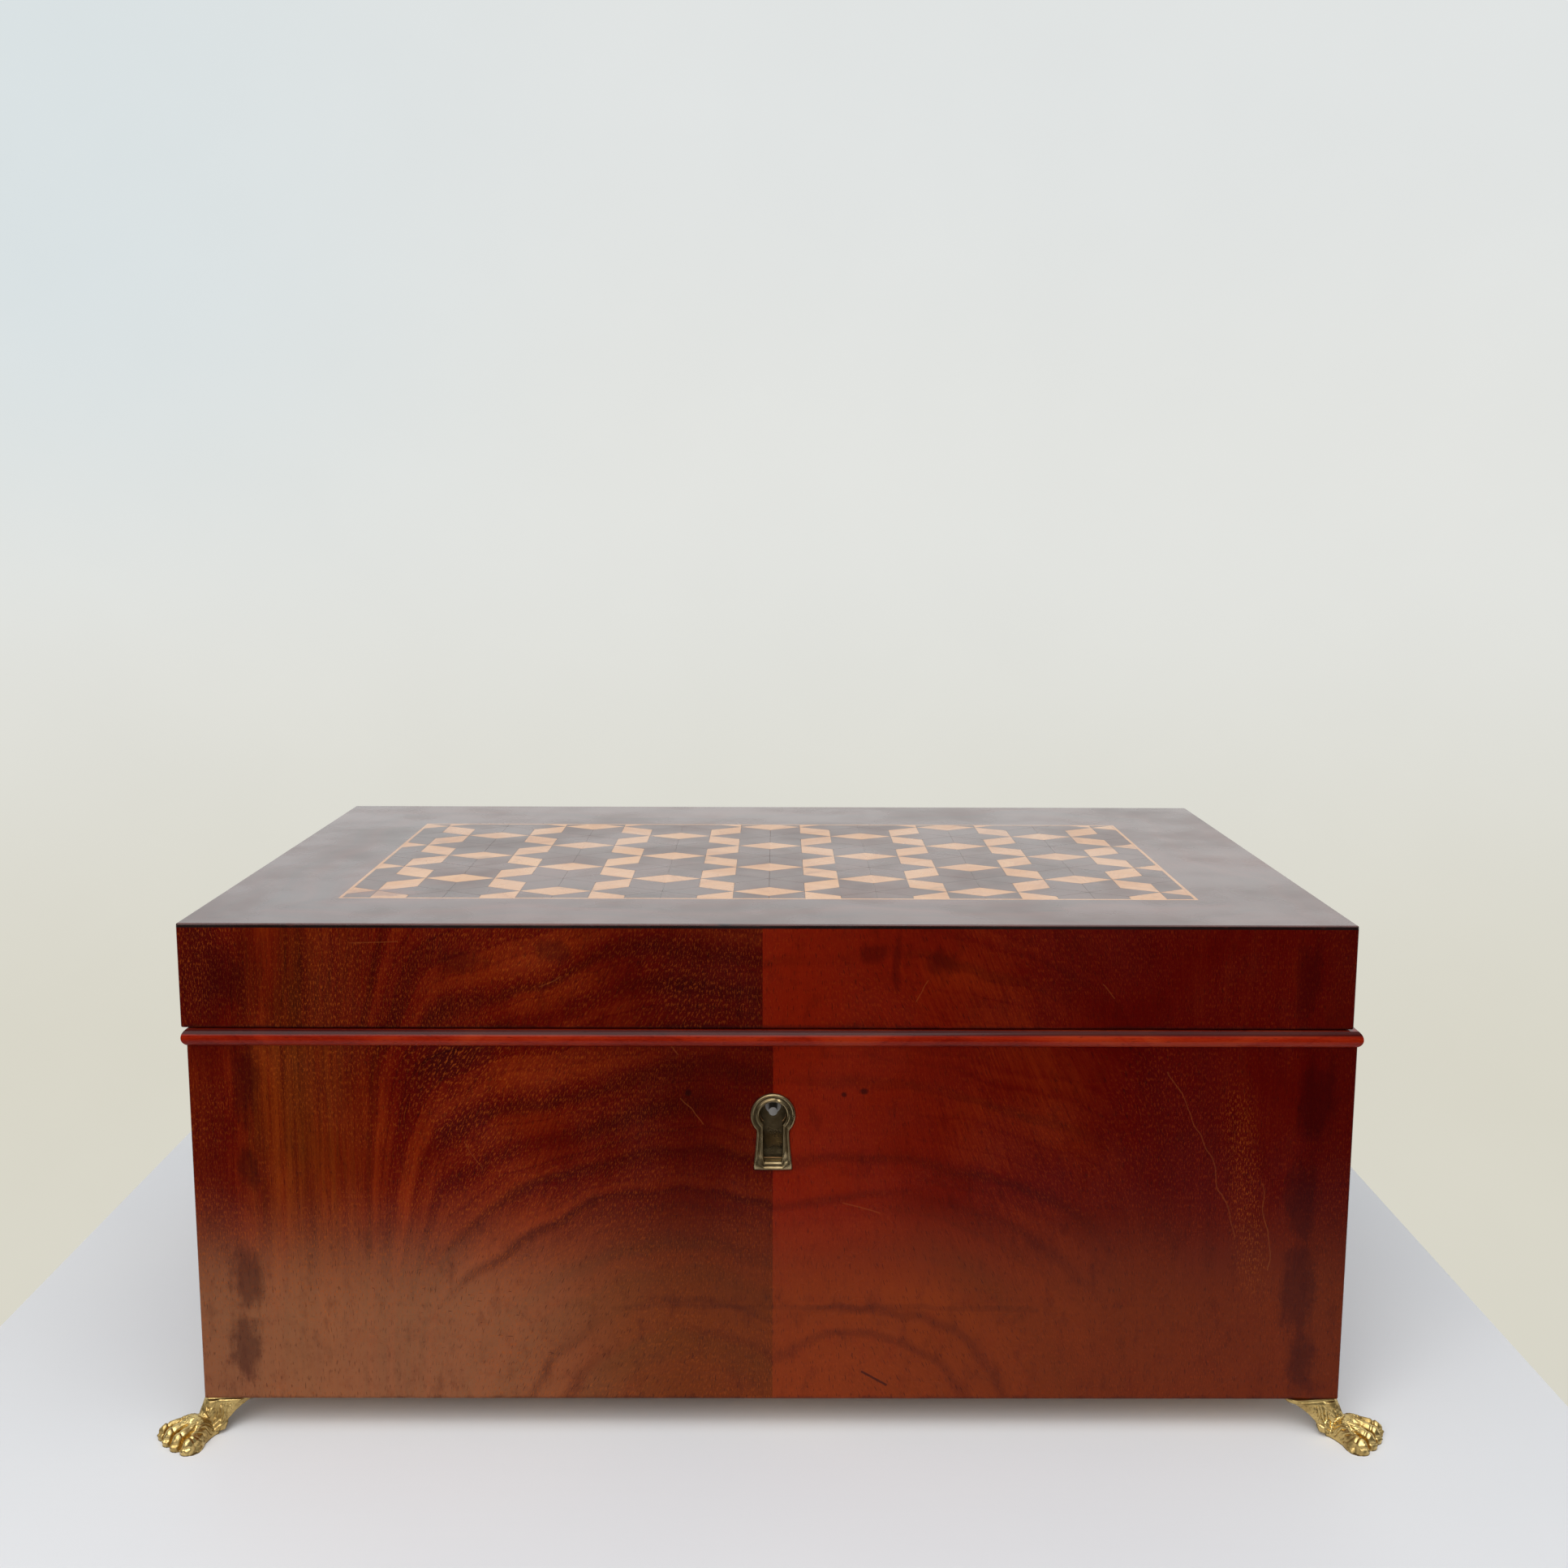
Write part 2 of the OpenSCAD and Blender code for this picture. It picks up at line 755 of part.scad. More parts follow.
module leg() {
    n = leg_columns;
    last = (leg_rows - 1) * n;
    points = [
        for (r = [0:leg_rows - 1], c = [0:n - 1])
            let (
                t = r / (leg_rows - 1),
                angle = -360 * c / n,
                radius = leg_radius(t, angle)
            )
            [mix(leg_foot_u, leg_top_u, t) + radius * cos(angle), radius * sin(angle),
                mix(leg_z0, foot_h - wing_t / 2, t)]
    ];
    walls = [
        for (r = [0:leg_rows - 2], c = [0:n - 1])
            let (d = (c + 1) % n)
            for (face = cell_faces(r * n + c, r * n + d, (r + 1) * n + d, (r + 1) * n + c)) face
    ];
    polyhedron(points, concat(walls, [[for (c = [0:n - 1]) n - 1 - c]], [[for (c = [0:n - 1]) last + c]]));
}

// Paw: cross-sections from the heel to the toes, each with a flat sole and a rounded back that
// parts into four toes
paw_rows = 11;
paw_columns = 21;
toes = 4;
heel_u = leg_foot_u - ankle_d / 2 - 0.4;
heel_w = ankle_d + 1.4;
heel_h = 3;
// How far the outer toes and the grooves draw back from the longest toes
toe_arch = 1.9;
groove_back = 1.5;
groove_depth = 0.66;

// t runs from 0 at the heel to 1 at the toes' tips, and q from -1 to 1 across the paw
function paw_half_w(t) = ease(heel_w, paw_w, min(1, t / 0.85)) / 2;
function paw_height(t) =
    t < 0.3 ? ease(heel_h, instep_h, t / 0.3)
    : t < 0.7 ? ease(instep_h, toe_h, (t - 0.3) / 0.4)
    : toe_h * pow(max(0.02, 1 - pow((t - 0.7) / 0.31, 3)), 0.6);
// 0 on the ridge of each toe and 1 in the grooves between them
function toe_groove(q) = 1 - pow(abs(sin(180 * toes * (q + 1) / 2)), 0.7);
function toe_tip_u(q) = paw_l - toe_arch * q * q;

function paw_point(t, q) =
    let (
        front = max(0, (t - 0.4) / 0.6),
        parting = groove_depth * ease(0, 1, max(0, min(1, (t - 0.3) / 0.5))),
        crown = sqrt(1 - 0.96 * pow(abs(q), 5))
    )
    [
        mix(heel_u, paw_l, t) - front * (toe_arch * q * q + groove_back * toe_groove(q)),
        paw_half_w(t) * q,
        paw_height(t) * crown * (1 - parting * toe_groove(q))
    ];

// The back and the sole have the same plan, with walls between their edges
module paw() {
    back = [
        for (r = [0:paw_rows - 1], c = [0:paw_columns - 1])
            paw_point(r / (paw_rows - 1), 2 * c / (paw_columns - 1) - 1)
    ];
    n = len(back);
    sole = [for (p = back) [p[0], p[1], 0]];
    back_faces = grid_faces(paw_rows, paw_columns);
    sole_faces = [for (face = back_faces) [face[2] + n, face[1] + n, face[0] + n]];
    last = paw_columns - 1;
    edge = concat(
        [for (c = [0:last - 1]) c],
        [for (r = [0:paw_rows - 2]) r * paw_columns + last],
        [for (c = [last:-1:1]) (paw_rows - 1) * paw_columns + c],
        [for (r = [paw_rows - 1:-1:1]) r * paw_columns]);
    walls = [
        for (i = [0:len(edge) - 1])
            let (a = edge[i], b = edge[(i + 1) % len(edge)])
            for (face = cell_faces(b, a, a + n, b + n)) face
    ];
    polyhedron(concat(back, sole), concat(back_faces, sole_faces, walls));
}

// A claw at the tip of each toe, bent down to the floor
module claws() {
    for (i = [0:toes - 1]) {
        q = (2 * i + 1) / toes - 1;
        translate([toe_tip_u(q) - claw_l * 0.7, paw_half_w(1) * q, toe_h * 0.5])
            rotate([0, 128, 0])
                cylinder(d1 = 2, d2 = 0.5, h = claw_l, $fn = 16);
    }
}

// Leg, paw and claws are one casting, brought to its exact height and cut away round the screws' heads
module casting() {
    difference() {
        resize([0, 0, foot_h - wing_t / 2]) union() {
            leg();
            paw();
            claws();
        }
        wing_screw_places()
            translate([0, 0, -foot_h]) cylinder(d = screw_head_d + hole_play, h = 2 * foot_h);
    }
}

module foot(i) {
    color(BRASS) at_corner(FEET[i]) difference() {
        union() {
            wings();
            casting();
        }
        wing_screw_places()
            translate([0, 0, -past]) cylinder(d = foot_screw_d + hole_play, h = wing_t + 2 * past);
    }
}

module foot_front_left() foot(0);

module foot_front_right() foot(1);

module foot_back_left() foot(2);

module foot_back_right() foot(3);

// Inside the base

divider_y = 18;
divider_x = -40;
divider_play = 0.1;

module floor_lining() {
    color(BAIZE) block([-hollow_x, -hollow_y, z_under + bottom_t], [hollow_x, hollow_y, z_floor]);
}

// The dividers are halved into each other where they meet
module base_divider_long() {
    color(CEDAR) difference() {
        block([-hollow_x, divider_y, z_floor], [hollow_x, divider_y + divider_t, z_floor + divider_h]);
        block([divider_x - divider_play, divider_y - past, z_floor + divider_h / 2],
            [divider_x + divider_t + divider_play, divider_y + divider_t + past, z_floor + divider_h + past]);
    }
}

module base_divider_cross() {
    color(CEDAR) difference() {
        block([divider_x, -hollow_y, z_floor], [divider_x + divider_t, hollow_y, z_floor + divider_h]);
        block([divider_x - past, divider_y - divider_play, z_floor - past],
            [divider_x + divider_t + past, divider_y + divider_t + divider_play, z_floor + divider_h / 2]);
    }
}

module tray_bearers() {
    color(CEDAR) mirror_copy([1, 0, 0])
        block([hollow_x - bearer_w, -hollow_y, z_tray - seat_gap - bearer_h],
            [hollow_x, hollow_y, z_tray - seat_gap]);
}

// Tray

// The tray passes the walls and the lid's rails, wherever the lid sits
tray_x = min(hollow_x, board_x - rail_t - abs(lid_shift)) - tray_play;
tray_y = hollow_y - tray_play;
well_x = tray_x - tray_t;
well_y = tray_y - tray_t;
z_well = z_tray + tray_floor_t;
z_tray_top = z_tray + tray_h;
tray_divider_y = 22;
tray_divider_drop = 6;

module tray_sides() {
    color(CEDAR) mirror_copy([0, 1, 0])
        block([-tray_x, well_y, z_tray], [tray_x, tray_y, z_tray_top]);
}

// Each end has a half-round notch for the fingers
module tray_ends() {
    color(CEDAR) mirror_copy([1, 0, 0]) difference() {
        block([well_x, -well_y, z_tray], [tray_x, well_y, z_tray_top]);
        translate([well_x - past, 0, z_tray_top]) rotate([0, 90, 0])
            cylinder(r = notch_r, h = tray_t + 2 * past, $fn = 64);
    }
}

module tray_floor() {
    color(CEDAR) block([-well_x, -well_y, z_tray], [well_x, well_y, z_well]);
}

module tray_lining() {
    color(BAIZE) for (well = tray_wells())
        block([well[0][0], well[0][1], z_well], [well[1][0], well[1][1], z_well + lining_t]);
}

// Corners of the tray's wells: one long well behind and three in front
function tray_wells() =
    let (w = (2 * well_x - 2 * tray_t) / 3)
    concat(
        [[[-well_x, tray_divider_y + tray_t], [well_x, well_y]]],
        [for (i = [0:2]) let (x = -well_x + i * (w + tray_t)) [[x, -well_y], [x + w, tray_divider_y]]]);

module tray_dividers() {
    z1 = z_tray_top - tray_divider_drop;
    color(CEDAR) {
        block([-well_x, tray_divider_y, z_well], [well_x, tray_divider_y + tray_t, z1]);
        for (i = [1, 2])
            block([tray_wells()[i][1][0], -well_y, z_well],
                [tray_wells()[i][1][0] + tray_t, tray_divider_y, z1]);
    }
}

// Lid

lid_x0 = lid_shift - half_w;
lid_x1 = lid_shift + half_w;
rail_x0 = lid_x0 + veneer_t;
rail_x1 = lid_x1 - veneer_t;
rail_lap = rail_t / 2;
lid_join = lid_shift + lid_join_x;
cavity_x0 = rail_x0 + rail_t;
cavity_x1 = rail_x1 - rail_t;
cavity_y = board_y - rail_t;

module long_rail(y0, y1, lap_y0, lap_y1) {
    difference() {
        block([rail_x0, y0, z_lid], [rail_x1, y1, z_panel]);
        block([rail_x0 - past, lap_y0, z_lid - past], [cavity_x0, lap_y1, z_panel + past]);
        block([cavity_x1, lap_y0, z_lid - past], [rail_x1 + past, lap_y1, z_panel + past]);
    }
}

module lid_rail_front() {
    color(PINE) difference() {
        long_rail(-board_y, -cavity_y, -board_y + rail_lap, 0);
        block([-lock_w / 2 - inlay_play, lock_y0 - inlay_play, z_lid - past],
            [lock_w / 2 + inlay_play, 0, z_lid + link_plate_t + inlay_play]);
        link_screw_places() cylinder(d = link_screw_d + hole_play, h = link_screw_l + hole_play);
    }
}

module lid_rail_back() {
    color(PINE) difference() {
        long_rail(cavity_y, board_y, 0, board_y - rail_lap);
        hinge_recesses(1);
        hinge_screw_holes(1);
    }
}

module lid_rail_left() {
    color(PINE) block([rail_x0, -board_y + rail_lap, z_lid], [cavity_x0, board_y - rail_lap, z_panel]);
}

module lid_rail_right() {
    color(PINE) block([cavity_x1, -board_y + rail_lap, z_lid], [rail_x1, board_y - rail_lap, z_panel]);
}

module lid_panel() {
    color(PINE) block([rail_x0, -board_y, z_panel], [rail_x1, board_y, z_panel + panel_t]);
}

module lid_front_leaf(x0, x1) {
    color(MAHOGANY) block([x0, -half_d, z_lid], [x1, -board_y, z_panel + panel_t]);
}

module lid_veneer_front_left() lid_front_leaf(lid_x0, lid_join);

module lid_veneer_front_right() lid_front_leaf(lid_join, lid_x1);

module lid_veneer_back() {
    color(MAHOGANY) difference() {
        block([lid_x0, board_y, z_lid], [lid_x1, half_d, z_panel + panel_t]);
        hinge_recesses(1);
    }
}

module lid_veneer_sides() {
    color(MAHOGANY) for (x = [[lid_x0, rail_x0], [rail_x1, lid_x1]])
        block([x[0], -board_y, z_lid], [x[1], board_y, z_panel + panel_t]);
}

module lid_lining() {
    color(BAIZE) block([cavity_x0, -cavity_y, z_panel - lining_t], [cavity_x1, cavity_y, z_panel]);
}

// Top of the lid: border veneers, mitred from the lid's corners to the field's

field_x0 = lid_shift - field_w / 2;
field_x1 = lid_shift + field_w / 2;
field_y0 = field_shift_y - field_d / 2;
field_y1 = field_shift_y + field_d / 2;

module top_piece(outline) {
    translate([0, 0, z_top - top_veneer_t]) linear_extrude(top_veneer_t) polygon(outline);
}

module border_front_left() {
    color(MAHOGANY)
        top_piece([[lid_x0, -half_d], [lid_join, -half_d], [lid_join, field_y0], [field_x0, field_y0]]);
}

module border_front_right() {
    color(MAHOGANY)
        top_piece([[lid_join, -half_d], [lid_x1, -half_d], [field_x1, field_y0], [lid_join, field_y0]]);
}

module border_back() {
    color(MAHOGANY)
        top_piece([[lid_x0, half_d], [field_x0, field_y1], [field_x1, field_y1], [lid_x1, half_d]]);
}

module border_left() {
    color(MAHOGANY)
        top_piece([[lid_x0, -half_d], [field_x0, field_y0], [field_x0, field_y1], [lid_x0, half_d]]);
}

module border_right() {
    color(MAHOGANY)
        top_piece([[lid_x1, -half_d], [lid_x1, half_d], [field_x1, field_y1], [field_x1, field_y0]]);
}

module stringing() {
    w = stringing_w;
    sides = [
        [[field_x0, field_y0], [field_x1, field_y0], [field_x1 - w, field_y0 + w], [field_x0 + w, field_y0 + w]],
        [[field_x1, field_y0], [field_x1, field_y1], [field_x1 - w, field_y1 - w], [field_x1 - w, field_y0 + w]],
        [[field_x1, field_y1], [field_x0, field_y1], [field_x0 + w, field_y1 - w], [field_x1 - w, field_y1 - w]],
        [[field_x0, field_y1], [field_x0, field_y0], [field_x0 + w, field_y0 + w], [field_x0 + w, field_y1 - w]]
    ];
    color(PALE_WOOD) for (side = sides) top_piece(side);
}

// Star parquetry. The stars' middles lie three sides apart on a triangular lattice. Six dark
// rhombi meet in each star, and a light one lies across each line between neighbouring stars.

lattice = 3 * rhombus_side;
column_w = lattice * sin(60);
tiles_x0 = field_x0 + stringing_w;
tiles_x1 = field_x1 - stringing_w;
tiles_y0 = field_y0 + stringing_w;
tiles_y1 = field_y1 - stringing_w;
// Tiles are cut down by half a glue line all round
tile_side = rhombus_side - glue_line / sin(60);
// Slivers smaller than this are left out at the field's edge
least_tile = 0.5;
// What has fewer corners is not an outline
least_corners = 3;

function star_centres() =
    let (
        columns = ceil(field_w / 2 / column_w) + 1,
        rows = ceil(field_d / 2 / lattice) + 1
    )
    [for (i = [-columns:columns], j = [-rows:rows])
        [lid_shift + i * column_w, field_shift_y + star_shift_y + (j + (i % 2 == 0 ? 0 : 0.5)) * lattice]];

// A rhombus whose long diagonal points along angle
function rhombus(centre, angle) =
    let (
        long_half = tile_side * cos(30),
        short_half = tile_side * sin(30),
        along = [cos(angle), sin(angle)],
        across = [-sin(angle), cos(angle)]
    )
    [centre + long_half * along, centre + short_half * across,
        centre - long_half * along, centre - short_half * across];

function star_tiles(centre) =
    [for (k = [0:5]) rhombus(centre + rhombus_side * cos(30) * [cos(60 * k), sin(60 * k)], 60 * k)];

// Three of the six lines to neighbouring stars, so that each line is met once
function link_tiles(centre) =
    [for (k = [0:2]) rhombus(centre + lattice / 2 * [cos(60 * k + 30), sin(60 * k + 30)], 60 * k + 120)];

// Keeps the part of an outline where sign times the coordinate is at most sign times the limit
function clip(outline, axis, limit, sign) = [
    for (i = [0:len(outline) - 1])
        let (
            a = outline[i],
            b = outline[(i + 1) % len(outline)],
            in_a = sign * (a[axis] - limit) <= 0,
            in_b = sign * (b[axis] - limit) <= 0,
            cross = a + (b - a) * (limit - a[axis]) / (in_a == in_b ? 1 : b[axis] - a[axis])
        )
        for (p = [if (in_a) a, if (in_a != in_b) cross]) p
];

function clip_field(outline) =
    let (
        g = glue_line / 2,
        a = clip(outline, 0, tiles_x0 + g, -1),
        b = len(a) < least_corners ? [] : clip(a, 0, tiles_x1 - g, 1),
        c = len(b) < least_corners ? [] : clip(b, 1, tiles_y0 + g, -1)
    )
    len(c) < least_corners ? [] : clip(c, 1, tiles_y1 - g, 1);

function outline_area(outline) =
    abs(sum([for (i = [0:len(outline) - 1])
        let (a = outline[i], b = outline[(i + 1) % len(outline)]) a[0] * b[1] - a[1] * b[0]])) / 2;

function sum(list, i = 0) = i < len(list) ? list[i] + sum(list, i + 1) : 0;

module tiles(outlines) {
    for (outline = outlines) {
        cut = clip_field(outline);
        if (len(cut) >= least_corners && outline_area(cut) > least_tile) top_piece(cut);
    }
}

module star_rhombi() {
    color(DARK_MAHOGANY) tiles([for (centre = star_centres(), tile = star_tiles(centre)) tile]);
}

module light_rhombi() {
    color(PALE_WOOD) tiles([for (centre = star_centres(), tile = link_tiles(centre)) tile]);
}

carcass_front();
carcass_back();
carcass_left();
carcass_right();
bottom_board();
front_veneer_left();
front_veneer_right();
back_veneer();
side_veneer_left();
side_veneer_right();
bead_front();
bead_back();
bead_sides();
escutcheon();
lock_plate();
lock_cap();
lock_drill_pin();
lock_spring();
lock_screws();
lock_bolt();
foot_front_left();
foot_front_right();
foot_back_left();
foot_back_right();
foot_screws();
hinge_leaves_lower();
hinge_leaves_upper();
hinge_pins();
hinge_screws_lower();
hinge_screws_upper();
floor_lining();
base_divider_long();
base_divider_cross();
tray_bearers();
lid_rail_front();
lid_rail_back();
lid_rail_left();
lid_rail_right();
lid_panel();
lid_veneer_front_left();
lid_veneer_front_right();
lid_veneer_back();
lid_veneer_sides();
border_front_left();
border_front_right();
border_back();
border_left();
border_right();
star_rhombi();
light_rhombi();
stringing();
link_plate();
link_screws();
lid_lining();
tray_sides();
tray_ends();
tray_floor();
tray_dividers();
tray_lining();
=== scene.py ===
"""Games compendium box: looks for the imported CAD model. Metres, in the CAD's own frame."""
import json
import math

import bmesh
import bpy
from mathutils import Matrix, Vector, noise


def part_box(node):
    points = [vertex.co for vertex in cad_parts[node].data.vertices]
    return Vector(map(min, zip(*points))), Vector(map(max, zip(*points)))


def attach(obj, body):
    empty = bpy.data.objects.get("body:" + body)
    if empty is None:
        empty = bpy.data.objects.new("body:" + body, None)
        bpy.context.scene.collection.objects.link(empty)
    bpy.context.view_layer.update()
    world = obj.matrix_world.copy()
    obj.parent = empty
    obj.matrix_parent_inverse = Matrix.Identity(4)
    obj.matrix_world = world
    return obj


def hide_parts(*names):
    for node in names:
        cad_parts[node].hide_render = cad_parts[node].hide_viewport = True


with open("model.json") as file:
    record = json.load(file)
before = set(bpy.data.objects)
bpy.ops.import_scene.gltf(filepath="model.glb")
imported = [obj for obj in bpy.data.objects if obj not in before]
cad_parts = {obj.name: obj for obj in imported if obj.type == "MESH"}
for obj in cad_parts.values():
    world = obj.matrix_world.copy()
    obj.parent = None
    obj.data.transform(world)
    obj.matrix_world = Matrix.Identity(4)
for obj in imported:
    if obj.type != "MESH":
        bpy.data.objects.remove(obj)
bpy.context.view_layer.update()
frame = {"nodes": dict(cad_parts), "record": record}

MM = 0.001

# Outer faces of the box, in metres
FRONT_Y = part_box("front_veneer_left")[0][1]
BACK_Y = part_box("back_veneer")[1][1]
TOP_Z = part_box("border_back")[1][2]

# Sizes that the materials and the fittings share with the part, in millimetres
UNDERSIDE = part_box("carcass_front")[0][2] / MM
HALF_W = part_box("side_veneer_right")[1][0] / MM
HALF_D = BACK_Y / MM
LID_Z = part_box("lid_veneer_front_left")[0][2] / MM
RIM_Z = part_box("bead_front")[1][2] / MM

# The material slot of each node
SLOTS = {part["node"]: part["material_slot"] for part in frame["record"]["subparts"]}


def srgb(r, g, b):
    """A linear colour from the 0 to 255 values that a screen shows."""
    def one(v):
        v /= 255
        return v / 12.92 if v <= 0.04045 else ((v + 0.055) / 1.055) ** 2.4
    return (one(r), one(g), one(b), 1.0)


# Shader graphs, written as sums and products of values

class Value:
    """An output of a node, which takes part in sums as a number does."""

    def __init__(self, graph, socket):
        self.graph, self.socket = graph, socket

    def __add__(self, other):
        return self.graph.math("ADD", self, other)

    def __sub__(self, other):
        return self.graph.math("SUBTRACT", self, other)

    def __rsub__(self, other):
        return self.graph.math("SUBTRACT", other, self)

    def __mul__(self, other):
        return self.graph.math("MULTIPLY", self, other)

    def __truediv__(self, other):
        return self.graph.math("DIVIDE", self, other)

    def root(self):
        return self.graph.math("SQRT", self)

    def absolute(self):
        return self.graph.math("ABSOLUTE", self)

    def least(self, other):
        return self.graph.math("MINIMUM", self, other)

    def most(self, other):
        return self.graph.math("MAXIMUM", self, other)


class Graph:
    """The nodes of one material or of the world."""

    def __init__(self, name, tree=None):
        if tree is None:
            self.material = bpy.data.materials.new(name)
            self.material.use_nodes = True
            tree = self.material.node_tree
        tree.nodes.clear()
        self.nodes, self.links = tree.nodes, tree.links

    def put(self, socket, value):
        if isinstance(value, Value):
            self.links.new(value.socket, socket)
        elif value is not None:
            socket.default_value = value

    def node(self, kind, inputs=None, **settings):
        made = self.nodes.new(kind)
        for key, value in settings.items():
            setattr(made, key, value)
        for key, value in (inputs or {}).items():
            self.put(made.inputs[key], value)
        return made

    def out(self, made, key=0):
        return Value(self, made.outputs[key])

    def math(self, operation, *args):
        return self.out(self.node("ShaderNodeMath", dict(enumerate(args)), operation=operation))

    def parts(self, vector):
        """A vector's x, y and z."""
        made = self.node("ShaderNodeSeparateXYZ", {0: vector})
        return [self.out(made, k) for k in range(3)]

    def place(self):
        """The object's own coordinates in millimetres, as three values and one vector."""
        coordinates = self.out(self.node("ShaderNodeTexCoord"), "Object")
        scaled = self.out(self.node("ShaderNodeVectorMath", {0: coordinates, 1: (1 / MM,) * 3},
                                    operation="MULTIPLY"))
        return self.parts(scaled) + [scaled]

    def vector(self, x, y, z):
        return self.out(self.node("ShaderNodeCombineXYZ", {0: x, 1: y, 2: z}))

    def noise(self, vector, scale, detail=2.0, rough=0.5):
        inputs = {"Vector": vector, "Scale": scale, "Detail": detail, "Roughness": rough}
        return self.out(self.node("ShaderNodeTexNoise", inputs, noise_dimensions="3D"), "Fac")

    def noise_along(self, w, scale, detail):
        """Noise that changes along one value only."""
        inputs = {"W": w, "Scale": scale, "Detail": detail, "Roughness": 0.5}
        return self.out(self.node("ShaderNodeTexNoise", inputs, noise_dimensions="1D"), "Fac")

    def step(self, value, low, high, to_low=0.0, to_high=1.0):
        """Eases from to_low to to_high as value goes from low to high."""
        inputs = {"Value": value, "From Min": low, "From Max": high, "To Min": to_low, "To Max": to_high}
        return self.out(self.node("ShaderNodeMapRange", inputs, interpolation_type="SMOOTHSTEP"))

    def ramp(self, value, *stops):
        made = self.node("ShaderNodeValToRGB", {0: value})
        points = made.color_ramp.elements
        while len(points) < len(stops):
            points.new(0.5)
        for point, (where, colour) in zip(points, stops):
            point.position, point.color = where, colour
        return self.out(made)

    def mix(self, factor, a, b, blend="MIX"):
        made = self.node("ShaderNodeMix", data_type="RGBA", blend_type=blend)
        for key, value in (("Factor", factor), ("A", a), ("B", b)):
            self.put(made.inputs[key], value)
        return self.out(made, "Result")

    def bump(self, height, strength, distance, normal=None):
        inputs = {"Height": height, "Strength": strength, "Distance": distance, "Normal": normal}
        return self.out(self.node("ShaderNodeBump", inputs), "Normal")

    def finish(self, **inputs):
        shader = self.node("ShaderNodeBsdfPrincipled", inputs)
        output = self.node("ShaderNodeOutputMaterial")
        self.links.new(shader.outputs[0], output.inputs[0])
        return self.material

    def ellipse(self, x, z, place, radii, soft, wobble):
        """1 inside an ellipse with a ragged outline and 0 outside it."""
        dx, dz = (x - place[0]) / radii[0], (z - place[1]) / radii[1]
        return self.step((dx * dx + dz * dz).root() + wobble, 1 + soft, 1 - soft)

    def stroke(self, x, z, start, end, width):
        """1 on a straight scratch from start to end and 0 beside it."""
        ex, ez = end[0] - start[0], end[1] - start[1]
        px, pz = x - start[0], z - start[1]
        along = ((px * ex + pz * ez) / (ex * ex + ez * ez)).most(0.0).least(1.0)
        dx, dz = px - along * ex, pz - along * ez
        return self.step((dx * dx + dz * dz).root(), width, width * 0.35)


def most_of(values):
    whole = values[0]
    for value in values[1:]:
        whole = whole.most(value)
    return whole


# Wood and polish

# How brightly the lamps light the front. Colours given by seen() show on it as they are written.
FRONT_LIGHT = 0.95
PALEST = 0.9


def seen(r, g, b):
    """The colour of a surface that shows as this one on the front of the box."""
    return tuple(min(PALEST, v / FRONT_LIGHT) for v in srgb(r, g, b)[:3]) + (1.0,)


DARK, MIDDLE, LIGHT = seen(42, 2, 2), seen(80, 7, 2), seen(114, 32, 5)
NEAR_BLACK = seen(30, 5, 5)
DUST = (1.0, 0.93, 0.9, 1.0)
# Dust on the top, seen at a low angle
TOP_HAZE = 0.6


def grain(g, along, across, through):
    """Fibre tone and dark pores of mahogany, from places in millimetres."""
    fibre = g.noise(g.vector(across, along * 0.045, through), 1.7, 3, 0.6)
    pores = g.step(g.noise(g.vector(across * 3.0, along * 0.4, through), 1.0, 1, 0.4), 0.63, 0.72)
    return fibre, pores


# Golden flecks: partly the wood's own rays and partly painted glints of its chatoyant shimmer
def golden_flecks_and_glints(g, along, across, through):
    dashes = g.noise(g.vector(across * 3.4 + 71, along * 0.8, through), 1.0, 2, 0.6)
    return g.step(dashes, 0.5, 0.68)


def figure(g, rings, fibre, broad, dark, middle, light, contrast):
    """Colour of wood with growth rings. rings is the distance across them, with 1 a full band."""
    band = g.noise_along(rings, 1.0, 1.5)
    line = g.step((g.noise_along(rings + 50, 0.8, 0) - 0.5).absolute(), 0.035, 0.0)
    tone = ((band - 0.5) * contrast + (broad - 0.5) * 0.8 + (fibre - 0.5) * 0.45
            - line * (0.14 * contrast) + 0.5)
    return g.ramp(tone, (0.16, dark), (0.5, middle), (0.84, light))


def varnish(g, colour, fibre, pores, rough, level, haze=0.0):
    """Old polish: uneven gloss over wood whose pores show through, with haze as dust on it."""
    at = g.place()[3]
    roughness = g.step(g.noise(at, 0.03, 3, 0.6), 0.3, 0.75, rough * 0.8, rough * 1.35)
    normal = g.bump(g.noise(at, 0.05, 1, 0.4), 1.0, 0.05 * MM)
    normal = g.bump(fibre * 0.25 - pores, 0.3, 0.02 * MM, normal)
    return g.finish(**{"Base Color": colour, "Roughness": roughness, "IOR": 1.5, "Normal": normal,
                       "Specular IOR Level": level, "Sheen Weight": haze, "Sheen Roughness": 0.35,
                       "Sheen Tint": DUST})


# The fronts of the box and of the lid: two leaves each, opened like a book. Places on a leaf are in
# millimetres, out from the seam and up from the leaf's lower edge.

LEFT, RIGHT = -1, 1
BODY, LID = False, True

# Middle of the growth rings, how much wider than high they are, the width of a band and a seed
RING_OUT, RING_UP = 24.0, {BODY: -10.0, LID: -85.0}
RING_STRETCH, RING_STEP = 1.15, 10.0
RING_SEED = {LEFT: 31.0, RIGHT: 47.0}
# Stretch of the leaf where the arches turn into upright stripes
STRIPES = (92.0, 128.0)
# The fibres lean over between these places, by this much for each millimetre above the height
LEAN_IN, LEAN_OUT = (0.0, 60.0), (125.0, 70.0)
LEAN_FROM, LEAN = 50.0, 0.38
CONTRAST = {LEFT: 0.7, RIGHT: 0.4}

